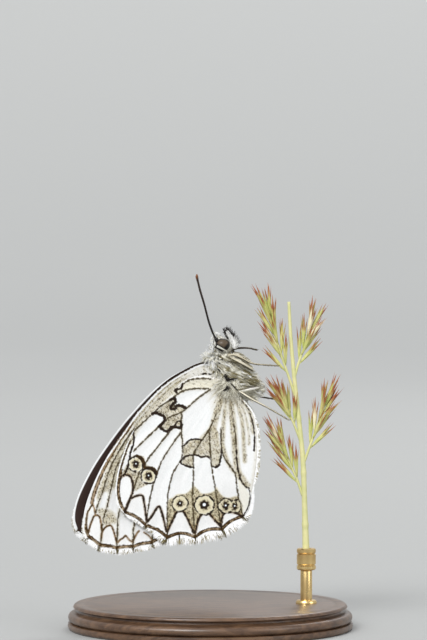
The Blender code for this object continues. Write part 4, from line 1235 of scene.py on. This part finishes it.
# Shares of the length, and the radius at each.
PALP_RADII = ((0, 0.1, 0.38, 0.42, 0.70, 0.76, 0.95, 1.0), (0.22, 0.34, 0.30, 0.24, 0.15, 0.12, 0.09, 0.04))
PALP_RINGS = 40
PALP_COATS = (("scales", 900, 0.34, 0.028, False), ("bristles", 150, 0.85, 0.021, True))
share = np.linspace(0, 1, PALP_RINGS)
radii = np.interp(share, *PALP_RADII)
for side, sign in SIDES:
    line = spaced(smooth_line(PALP_LINES[side]), PALP_RINGS)
    points, faces, values = rod(line, radii, 16, flat=0.8)
    closed_piece(f"palp_body_{side}", points, faces, palp_finish, (f"palp_{side}",), values)
    for kind, count, length, thick, black in PALP_COATS:
        pick = rng.uniform(0.12, 0.97, count) if black else rng.uniform(0.0, 0.80, count)
        middle = np.stack([np.interp(pick, share, axis) for axis in line.T], -1)
        slope = unit(np.stack([np.interp(pick, share, axis) for axis in np.gradient(line, axis=0).T], -1))
        front = stacked(slope[:, 2], 0.0, -slope[:, 0])
        a = rng.normal(0, 0.45, count) if black else rng.uniform(0, 2 * math.pi, count)
        cos, sin = np.cos(a)[:, None], np.sin(a)[:, None]
        out = front * cos + np.array([0.0, 1.0, 0.0]) * sin
        roots = middle + out * 0.9 * np.interp(pick, share, radii)[:, None]
        ways = 1.1 * out + slope if black else 0.30 * out + slope - 0.30 * front
        ways += rng.normal(0, 0.24 if black else 0.14, (count, 3))
        # The white scales at the foot are long, and make a beard before the face.
        beard = (not black) & (pick < 0.42) & (np.cos(a) > 0)
        ways += 0.8 * beard[:, None] * front
        lengths = length * rng.uniform(0.55, 1.0, count) * np.where(pick > 0.80, 0.40, 1.0 + 0.4 * beard)
        homes = np.stack([0.25 + 0.25 * sign + 0.1 * pick, a / 8 + 0.4], -1)
        # The front edge of each palp above the bend is black, and so is its face that looks at the other
        # palp, which is painted shade from the narrow space between them.
        edge, inner = (np.cos(a) > 0.85) & (pick > 0.52), (-sign * np.sin(a) > 0.3) & (pick > 0.30)
        tones = np.where(black | edge | inner | (pick > 0.78), -1.0, 1.2)
        bends = rng.normal(0, 0.06, (count, 3))
        hairs(f"coat_palp_{kind}_{side}", roots, ways, lengths, thick, bends, homes, tones)

# ---------------------------------------------------------------- antennae
# Thin stalks of many short joints, black with a fine pale ring at each joint, ending in a slim club that
# turns red-brown at its end. Each stands on a stout first joint by the eye.

antenna_finish, tree, shader = material("antenna", 0.55, Specular_IOR_Level=0.25)
ANTENNA_JOINTS = 38
share = read(tree, "along")
joint = maths(tree, "PINGPONG", times(tree, share, float(ANTENNA_JOINTS)), 0.5)
tone = blend(tree, ramp(tree, share, 0.25, 0.80), (0.009, 0.007, 0.006), (0.028, 0.016, 0.011))
tone = blend(tree, ramp(tree, joint, 0.06, 0.02), tone, (0.10, 0.085, 0.07))
paint(tree, shader, blend(tree, ramp(tree, share, 0.935, 0.985), tone, (0.19, 0.070, 0.025)))

ANTENNA_LINE = (
    (-1.12, 0.98, 4.78), (-1.42, 1.08, 5.25), (-1.76, 1.30, 5.95), (-2.20, 1.85, 7.20), (-2.72, 3.20, 9.20),
    (-3.25, 4.80, 11.00), (-3.65, 5.90, 12.70),
)
ANTENNA_RADII = (
    (0, 0.02, 0.050, 0.06, 0.075, 0.90, 0.95, 0.975, 0.99, 1.0),
    (0.18, 0.26, 0.20, 0.12, 0.11, 0.080, 0.105, 0.120, 0.100, 0.045),
)
# Six rings of points to each joint.
ANTENNA_RINGS = 6 * ANTENNA_JOINTS + 1
share = np.linspace(0, 1, ANTENNA_RINGS)
radii = np.interp(share, *ANTENNA_RADII)
radii *= 1 + 0.10 * np.abs(np.sin(math.pi * ANTENNA_JOINTS * share)) * (share > 0.06)
for side, sign in SIDES:
    line = spaced(smooth_line(ANTENNA_LINE), ANTENNA_RINGS) * (1, sign, 1)
    points, faces, values = rod(line, radii, 10, (1.0, 0.0, 0.0))
    node = f"antenna_{side}"
    closed_piece(f"antenna_stalk_{side}", points, faces, antenna_finish, (node,), values)

# ---------------------------------------------------------------- legs
# Four walking legs: thigh, shin with fine spurs, a foot of five short joints and a pair of hooked claws.
# The first pair is stunted and lies folded on the breast. Scales cover all six, cream, darker to the feet.

leg_finish, tree, shader = material("leg", 0.6, Specular_IOR_Level=0.3)
grain = noise(tree, object_place(tree), 9000.0, 2.0)
tone = blend(tree, read(tree, "tint"), (0.70, 0.63, 0.46), (0.070, 0.050, 0.032))
tone = blend(tree, read(tree, "pale"), tone, (0.86, 0.84, 0.78))
# A dark stripe where the leg's surface faces down, painted shade; on the pale thigh the same stripe runs
# along the top.
stripe = ramp(tree, plus(tree, read(tree, "under"), times(tree, grain, 0.4)), 0.35, 0.65)
paint(tree, shader, blend(tree, times(tree, stripe, 0.9), tone, (0.045, 0.034, 0.022)))

# Each leg: the lines of its thigh and of its shin and foot, how dark it is, and how pale its thigh is.
LEGS = {
    "midleg_right": (
        ((3.00, -1.10, 1.45), (1.60, -1.95, 2.32), (0.00, -2.00, 3.18)),
        (
            (0.00, -2.00, 3.18), (0.80, -2.00, 3.24), (1.70, -1.95, 2.90), (3.00, -1.50, 2.22),
            (4.70, -0.95, 2.00), (6.10, -0.55, 1.90),
        ),
        0.35, 0.2,
    ),
    "midleg_left": (
        ((2.90, 1.10, 1.60), (1.70, 1.95, 2.50), (0.55, 2.00, 3.60)),
        ((0.55, 2.00, 3.60), (1.10, 1.85, 3.86), (1.90, 1.55, 3.95), (2.70, 1.00, 3.92), (3.55, 0.70, 3.74)),
        1.0, 0.0,
    ),
    "hindleg_right": (
        ((3.80, -0.75, -0.62), (2.60, -1.85, -0.80), (1.40, -2.20, -1.05)),
        (
            (1.40, -2.20, -1.05), (3.00, -2.05, -2.05), (4.60, -1.50, -2.92), (6.00, -0.95, -3.75),
            (7.35, -0.50, -4.55),
        ),
        0.1, 1.0,
    ),
    "hindleg_left": (
        ((3.80, 0.75, -0.62), (2.60, 1.85, -0.80), (1.40, 2.20, -1.05)),
        ((1.40, 2.20, -1.05), (2.80, 1.95, -1.60), (4.20, 1.30, -1.92), (5.75, 0.78, -2.15)),
        0.75, 0.0,
    ),
}
THIGH_RINGS, SHIN_RINGS = 24, 90
# The foot's five joints are each thickest at their end.
SHIN_RADII = (
    (0, 0.05, 0.40, 0.50, 0.52, 0.62, 0.64, 0.73, 0.75, 0.83, 0.85, 0.92, 0.94, 1.0),
    (0.11, 0.13, 0.12, 0.11, 0.09, 0.10, 0.08, 0.095, 0.075, 0.09, 0.07, 0.085, 0.07, 0.08),
)
for name, (thigh, shin, tint, pale) in LEGS.items():
    thigh_line = spaced(smooth_line(thigh), THIGH_RINGS)
    thigh_radii = ((0, 0.12, 0.45, 0.9, 1.0), (0.18, 0.22, 0.23 + 0.06 * pale, 0.16, 0.13))
    radii = np.interp(np.linspace(0, 1, THIGH_RINGS), *thigh_radii)
    parts = [rod(thigh_line, radii, 12, flat=0.8, tint=0.6 * tint, pale=pale)]
    # The dark stripe is painted shade along the underside of each joint; on the pale thigh it lies along the
    # top instead.
    downward = -1 if pale > 0.5 else 1
    parts[0][2]["under"] *= downward
    lower = spaced(smooth_line(shin), SHIN_RINGS)
    share = np.linspace(0, 1, SHIN_RINGS)
    darker = np.clip(tint + 0.35 * smoothstep((share - 0.45) / 0.5), 0, 1)
    radii = np.interp(share, *SHIN_RADII)
    parts.append(rod(lower, radii, 10, tint=darker, pale=0.35 * pale * (1 - share)))
    toe, slope = lower[-1], unit(lower[-1] - lower[-6])
    down = np.cross(slope, (0, 1, 0))
    for y in (-1, 1):
        s = np.linspace(0, 1, 9)[:, None]
        hook = toe + 0.24 * s * slope + 0.09 * y * np.sin(1.6 * s) * (0, 1, 0) + 0.14 * s**2 * down
        parts.append(rod(hook, 0.04 * (1 - s[:, 0]) ** 0.7 + 0.004, 6, tint=1.0, pale=0.0))
    points, faces, values = joined(parts)
    closed_piece(f"{name}_joints", points, faces, leg_finish, (name,), values)
    count = 900
    both = np.vstack([thigh_line, lower])
    pick = np.where(
        rng.random(count) < 0.5, rng.integers(0, THIGH_RINGS - 1, count),
        rng.integers(THIGH_RINGS, len(both) - 1, count),
    )
    out = unit(rng.normal(0, 1, (count, 3)))
    slope = unit(both[pick + 1] - both[pick])
    thick = pick < THIGH_RINGS
    # Hairs further down the shin are darker, and those that face down are darkened as painted shade; on the
    # pale thigh the ones that face up are darkened instead.
    dark = 0.5 * (pick > 60) + 0.9 * (-downward * out[:, 2] > 0.35)
    tones = np.clip(0.85 - tint - dark + rng.normal(0, 0.25, count), -1, 1)
    homes = np.stack([0.1 + 0.008 * pick, 0.5 + 0.05 * out[:, 0]], -1)
    roots = both[pick] + 0.85 * np.where(thick, 0.20, 0.10)[:, None] * out
    lengths = np.where(thick, 0.34, 0.19) * rng.uniform(0.6, 1.0, count)
    ways, widths, straight = 0.35 * out + slope, np.where(thick, 0.024, 0.014), np.zeros((count, 3))
    hairs(f"coat_{name}", roots, ways, lengths, widths, straight, homes, tones)

FORELEG_LINE = ((0.75, 0.95, 3.30), (1.60, 0.85, 3.10), (2.50, 0.70, 2.45))
FORELEG_RADII = ((0, 0.2, 0.55, 0.6, 0.95, 1.0), (0.16, 0.21, 0.20, 0.15, 0.13, 0.05))
FORELEG_RINGS = 40
for side, sign in SIDES:
    line = spaced(smooth_line(FORELEG_LINE), FORELEG_RINGS) * (1, sign, 1)
    radii = np.interp(np.linspace(0, 1, FORELEG_RINGS), *FORELEG_RADII)
    points, faces, values = rod(line, radii, 12, tint=0.15, pale=0.35)
    closed_piece(f"foreleg_joints_{side}", points, faces, leg_finish, (f"foreleg_{side}",), values)
    count = 520
    pick = rng.integers(0, FORELEG_RINGS - 3, count)
    out = unit(rng.normal(0, 1, (count, 3)))
    slope = unit(line[pick + 2] - line[pick])
    tones = np.where(np.sin(14 * out[:, 2] + 0.2 * pick) > 0.35, -0.45, 0.8) + rng.normal(0, 0.15, count)
    homes = np.stack([0.2 + 0.01 * pick, 0.8 + 0.05 * out[:, 0]], -1)
    roots, ways, lengths = line[pick] + 0.16 * out, slope + 0.25 * out, rng.uniform(0.35, 0.60, count)
    hairs(f"coat_foreleg_{side}", roots, ways, lengths, 0.028, np.zeros((count, 3)), homes, tones)

# ---------------------------------------------------------------- perch
# A cut length of flowering grass: a ribbed green stem and thin side stalks, with spikelets set round them.
# Each spikelet is a sheaf of pointed chaffy scales, green at the foot, red-brown at the tip, pale-edged.

grass, tree, shader = material("grass", 0.55, Specular_IOR_Level=0.35)
where = object_place(tree)
blotch = noise(tree, where, 700.0, 3.0)
fibres = noise(tree, drawn_out(tree, where, (9000.0, 9000.0, 700.0)), 1.0, 2.0)
tone = blend(tree, ramp(tree, blotch, 0.3, 0.7), (0.46, 0.50, 0.14), (0.62, 0.60, 0.24))
ripe = plus(tree, read(tree, "ripe"), times(tree, blotch, 0.5))
tone = blend(tree, read(tree, "dry"), tone, (0.80, 0.74, 0.50))
tone = blend(tree, ramp(tree, ripe, 0.58, 1.00), tone, (0.33, 0.095, 0.034))
pale_edge = times(tree, ramp(tree, read(tree, "edge"), 0.80, 0.97), read(tree, "chaff"))
tone = blend(tree, pale_edge, tone, (0.82, 0.76, 0.55))
tone = blend(tree, times(tree, ramp(tree, fibres, 0.55, 0.85), 0.6), tone, (0.70, 0.67, 0.38))
paint(tree, shader, tone, fibres, 0.4, 0.00004)

STEM_LINE = (
    (9.45, 0.0, -21.40), (9.25, 0.0, -15.00), (9.05, 0.0, -9.50), (8.55, 0.0, -4.50), (8.00, 0.0, 0.50),
    (7.60, 0.0, 5.00), (7.35, 0.0, 9.50),
)
# Side stalks: the line of each, where along it the spikelets start, how many, and the first one's turn.
STALKS = {
    "perch_branch_1": ((
        (8.35, 0.0, -2.60), (7.60, 0.0, -0.20), (6.85, 0.0, 2.00), (5.90, 0.0, 4.90), (5.00, 0.0, 8.00),
    ), 0.34, 14, 0),
    "perch_branch_2": ((
        (8.80, 0.0, -7.20), (8.10, -0.1, -5.40), (7.45, -0.1, -3.90), (7.00, -0.3, -2.90),
    ), 0.45, 8, 160),
    "perch_branch_3": ((
        (9.00, 0.0, -13.60), (8.30, 0.2, -11.60), (7.45, 0.3, -9.70), (6.50, 0.3, -7.60),
    ), 0.22, 12, 0),
    "perch_branch_4": ((
        (9.05, 0.0, -10.00), (9.90, -0.1, -7.60), (10.80, -0.1, -5.20), (11.60, 0.0, -2.90),
    ), 0.26, 12, 180),
    "perch_branch_5": ((
        (8.00, 0.0, 0.40), (8.55, 0.1, 2.30), (9.20, 0.1, 4.10), (9.80, 0.0, 6.00),
    ), 0.26, 10, 180),
}
SPIKELET_LENGTH = 4.6
GOLDEN_ANGLE = 137.5


def turned(way, angle, axis):
    """way turned by angle about a unit axis: w cos + (k x w) sin + k (k.w) (1 - cos)."""
    axis, cos, sin = np.asarray(axis, float), math.cos(angle), math.sin(angle)
    return way * cos + np.cross(axis, way) * sin + axis * (axis @ way) * (1 - cos)


def chaff(root, way, length, wide, curl, ripeness, dryness):
    """One pointed scale, a boat-shaped rod: flat, widest at a third, its tip curled outward by curl s^2."""
    s = np.linspace(0, 1, 12)[:, None]
    side = np.cross(way, curl)
    line = root + length * (s * way + 0.05 * s**2 * curl)
    profile = wide * np.interp(s[:, 0], (0, 0.12, 0.34, 0.7, 0.92, 1.0), (0.30, 0.75, 1.0, 0.62, 0.16, 0.04))
    return rod(line, profile, 8, unit(side), 0.42, ripe=0.9 * s[:, 0] + ripeness, chaff=1.0, dry=dryness)


STEM_RINGS, STALK_RINGS = 120, 51
STEM_RADII = ((0, 0.2, 0.6, 1), (0.44, 0.33, 0.26, 0.18))
STEM_KNOTS = (0.14, 0.34, 0.55)
share = np.linspace(0, 1, STEM_RINGS)
knots = 0.06 * np.exp(-(((share[:, None] - STEM_KNOTS) / 0.008) ** 2)).sum(1)
stem_line = spaced(smooth_line(STEM_LINE), STEM_RINGS)
radii = np.interp(share, *STEM_RADII) + knots
points, faces, values = rod(stem_line, radii, 24, ripe=0.05, chaff=0.0, dry=0.35)
closed_piece("grass_stem", points, faces, grass, ("perch_stem",), values)

# The five chaffy scales of a spikelet: how far each leans out, and its share of the full length.
CHAFF = ((0.035, 1.0), (0.045, 0.92), (0.075, 0.80), (0.060, 0.86), (0.095, 0.70))
for name, (line, first, count, start_turn) in STALKS.items():
    fine = spaced(smooth_line(line), STALK_RINGS)
    parts = [rod(fine, np.linspace(0.17, 0.09, STALK_RINGS), 8, ripe=0.05, chaff=0.0, dry=0.3)]
    for n in range(count):
        up = n / (count - 1)
        k = min(round((first + (1 - first) * up) * (STALK_RINGS - 1)), STALK_RINGS - 2)
        around = math.radians(start_turn + GOLDEN_ANGLE * n)
        closing = 1.15 - 0.6 * up
        way = unit(fine[k + 1] - fine[k])
        way = turned(way, -math.radians(21 * closing * math.cos(around)), (0, 1, 0))
        way = turned(way, math.radians(13 * closing * math.sin(around)), (1, 0, 0))
        foot = fine[k] + 0.35 * way
        parts.append(rod(np.linspace(fine[k], foot + 0.3 * way, 6), 0.07, 6, ripe=0.2, chaff=0.0, dry=0.2))
        dryness = float(rng.random() < 0.16)
        sideways = unit(np.cross(way, (0.0, 1.0, 0.0)))
        for m, (tilt, reach) in enumerate(CHAFF):
            spin = 2 * math.pi * (m / 2 + 0.09 * m + 0.31 * n)
            out = sideways * math.cos(spin) + np.cross(way, sideways) * math.sin(spin)
            reach *= SPIKELET_LENGTH * 0.93 * rng.uniform(0.92, 1.02)
            spot = foot + 0.10 * m * way + 0.04 * out
            parts.append(chaff(spot, way + tilt * out, reach, 0.19, out, rng.uniform(-0.22, 0.16), dryness))
    points, faces, values = joined(parts)
    closed_piece(name.replace("perch", "grass"), points, faces, grass, (name,), values)

# ---------------------------------------------------------------- display stand
# A turned walnut foot with a bead and a shallow cove, waxed, and a brass rod whose grooved collar grips
# the cut end of the stem.


def turned_points(profile, sides):
    """A (r, z) profile turned about the upright axis: (r(s) cos a, r(s) sin a, z(s))."""
    r, z = np.asarray(profile, float).T[..., None]
    a = np.linspace(0, 2 * math.pi, sides, endpoint=False)
    return stacked(r * np.cos(a), r * np.sin(a), z).reshape(-1, 3), grid_faces(len(profile), sides)


def lathe(name, x, profile, sides, finish, node):
    """A turned piece with its axis at x, from a profile in the insect's millimetres."""
    points, faces = turned_points(profile, sides)
    piece = closed_piece(name, millimetres(points) + (x, 0, 0), faces, finish, (node,))
    piece.data.set_sharp_from_angle(angle=math.radians(38))


walnut, tree, shader = material("walnut", 0.38, Coat_Weight=0.25, Coat_Roughness=0.3)
where = object_place(tree)
warp = noise(tree, where, 55.0, 2.0, "Color")
bent = add_node(tree, "ShaderNodeMix", {0: 0.012, 4: where, 5: warp}, data_type="VECTOR").outputs[1]
grain = noise(tree, drawn_out(tree, bent, (160.0, 1500.0, 1500.0)), 1.0, 5.0, Roughness=0.6)
pores = noise(tree, drawn_out(tree, where, (900.0, 9000.0, 9000.0)), 1.0, 1.0)
tone = blend(tree, ramp(tree, grain, 0.3, 0.7), (0.060, 0.030, 0.016), (0.155, 0.085, 0.045))
tone = blend(tree, times(tree, ramp(tree, pores, 0.62, 0.72), 0.7), tone, (0.022, 0.012, 0.007))
paint(tree, shader, tone, pores, 0.25, 0.00005, sunken=True)

brass, tree, shader = material("brass", 0.26, Metallic=1.0)
where = object_place(tree)
marks = noise(tree, drawn_out(tree, where, (400.0, 400.0, 14000.0)), 1.0, 2.0)
tarnish = noise(tree, where, 420.0, 4.0)
tone = blend(tree, ramp(tree, tarnish, 0.35, 0.75), (0.82, 0.60, 0.27), (0.62, 0.42, 0.18))
paint(tree, shader, tone, marks, 0.12, 0.00003)
tree.links.new(plus(tree, 0.16, times(tree, tarnish, 0.25)), shader.inputs["Roughness"])

turn = np.linspace(0, 1, 9)[:, None] * math.pi / 2
foot_rim = np.hstack([16.55 + 0.45 * np.sin(turn), 0.45 - 0.45 * np.cos(turn)])
bead = np.hstack([16.45 + 0.50 * np.sin(2 * turn), 1.45 - 0.55 * np.cos(2 * turn)])
cove = np.hstack([16.35 - 0.55 * np.sin(2 * turn) ** 0.8, 2.35 - 0.30 * np.cos(2 * turn)])
top_rim = np.hstack([16.0 + 0.30 * np.cos(turn), 2.70 + 0.30 * np.sin(turn)])
groove = [(15.2, 3.0), (14.9, 2.93), (14.6, 3.0)]
base_profile = np.vstack([
    [(0, 0), (16.0, 0)], foot_rim, [(16.95, 0.80)], bead, cove, top_rim, groove, [(0, 3.0)],
])
lathe("turned_foot", 0.0, base_profile, 160, walnut, "stand_base")
foot_x = float(place(*STEM_LINE[0])[0])
rod_profile = [
    (0, 3.0), (1.25, 3.0), (1.25, 3.22), (1.12, 3.40), (0.70, 3.46), (0.70, 7.9), (0.64, 8.0), (0, 8.0),
]
lathe("brass_rod", foot_x, rod_profile, 48, brass, "stand_rod")
collar_profile = [
    (0.62, 7.02), (1.02, 7.02), (1.14, 7.14), (1.14, 7.50), (1.04, 7.58), (1.04, 7.66), (1.14, 7.74),
    (1.14, 8.86), (1.04, 8.94), (1.04, 9.02), (1.14, 9.10), (1.14, 9.46), (1.02, 9.58), (0.66, 9.58),
    (0.60, 9.50), (0.60, 7.10), (0.62, 7.02),
]
lathe("brass_collar", foot_x, collar_profile, 48, brass, "stand_collar")

# ---------------------------------------------------------------- floor, light and camera
# A pale paper floor that curves up into a wall, one broad lamp like an overcast sky, small soft lamps near
# the insect, and a long lens nearly level with it.

# How far out the paper lies and how high it stands there, in metres.
SWEEP = (
    (0.0, 0.0), (0.5, 0.0), (1.0, 0.0), (1.4, 0.02), (1.8, 0.09), (2.1, 0.21), (2.28, 0.38), (2.36, 0.60),
)
points, faces = turned_points(smooth_line(SWEEP, 8), 96)
floor_mesh = bpy.data.meshes.new("floor")
floor_mesh.from_pydata(points.tolist(), [], faces[:, ::-1].tolist())
floor_mesh.shade_smooth()
floor = bpy.data.objects.new("floor", floor_mesh)
bpy.context.scene.collection.objects.link(floor)
floor_finish, tree, shader = material("floor_paper", 0.9)
where = object_place(tree)
fibre = noise(tree, where, 900.0, 4.0)
far = add_node(tree, "ShaderNodeVectorMath", {0: where}, operation="LENGTH").outputs["Value"]
tone = blend(tree, ramp(tree, far, 0.35, 0.95), (0.37, 0.375, 0.37), (0.50, 0.505, 0.498))
paint(tree, shader, blend(tree, times(tree, fibre, 0.08), tone, (0.60, 0.60, 0.58)))
floor_mesh.materials.append(floor_finish)

world = bpy.data.worlds.new("studio")
world.use_nodes = True
sky = world.node_tree.nodes["Background"].inputs
sky["Color"].default_value = (0.96, 0.98, 1.0, 1.0)
sky["Strength"].default_value = 0.66
bpy.context.scene.world = world
bpy.context.scene.view_settings.view_transform = "Standard"

centre = place(-1.62, 0.0, 7.33)
# Each lamp: its kind, its way from the insect, in metres, its breadth (an angle for the sun) and its power.
LAMPS = (
    ("sky", "SUN", (-0.30, -0.74, 0.58), 0.35, 2.0),
    ("near", "AREA", (-0.35, -0.40, 0.35), 0.25, 1.0),
    ("side", "AREA", (0.50, -0.30, 0.20), 0.30, 0.8),
    ("back", "AREA", (0.15, 0.45, 0.45), 0.25, 1.4),
)
for name, kind, offset, breadth, power in LAMPS:
    light = bpy.data.lights.new(f"{name}_lamp", kind)
    if kind == "SUN":
        light.angle = breadth
    else:
        light.size = breadth
    light.energy = power
    lamp = bpy.data.objects.new(f"{name}_lamp", light)
    lamp.location = centre + offset
    lamp.rotation_mode = "QUATERNION"
    lamp.rotation_quaternion = (-Vector(offset)).to_track_quat("-Z", "Y")
    bpy.context.scene.collection.objects.link(lamp)

CAMERA_REACH = 0.42
CAMERA_TILT = math.radians(1.5)
VIEW_HEIGHT = 0.0762 * GROWTH
camera = bpy.data.cameras.new("camera")
camera.lens = camera.sensor_width * CAMERA_REACH / VIEW_HEIGHT
camera.clip_start = 0.01
viewer = bpy.data.objects.new("camera", camera)
viewer.location = centre + CAMERA_REACH * np.array([0.0, -math.cos(CAMERA_TILT), math.sin(CAMERA_TILT)])
viewer.rotation_euler = (math.pi / 2 - CAMERA_TILT, 0.0, 0.0)
bpy.context.scene.collection.objects.link(viewer)
bpy.context.scene.camera = viewer
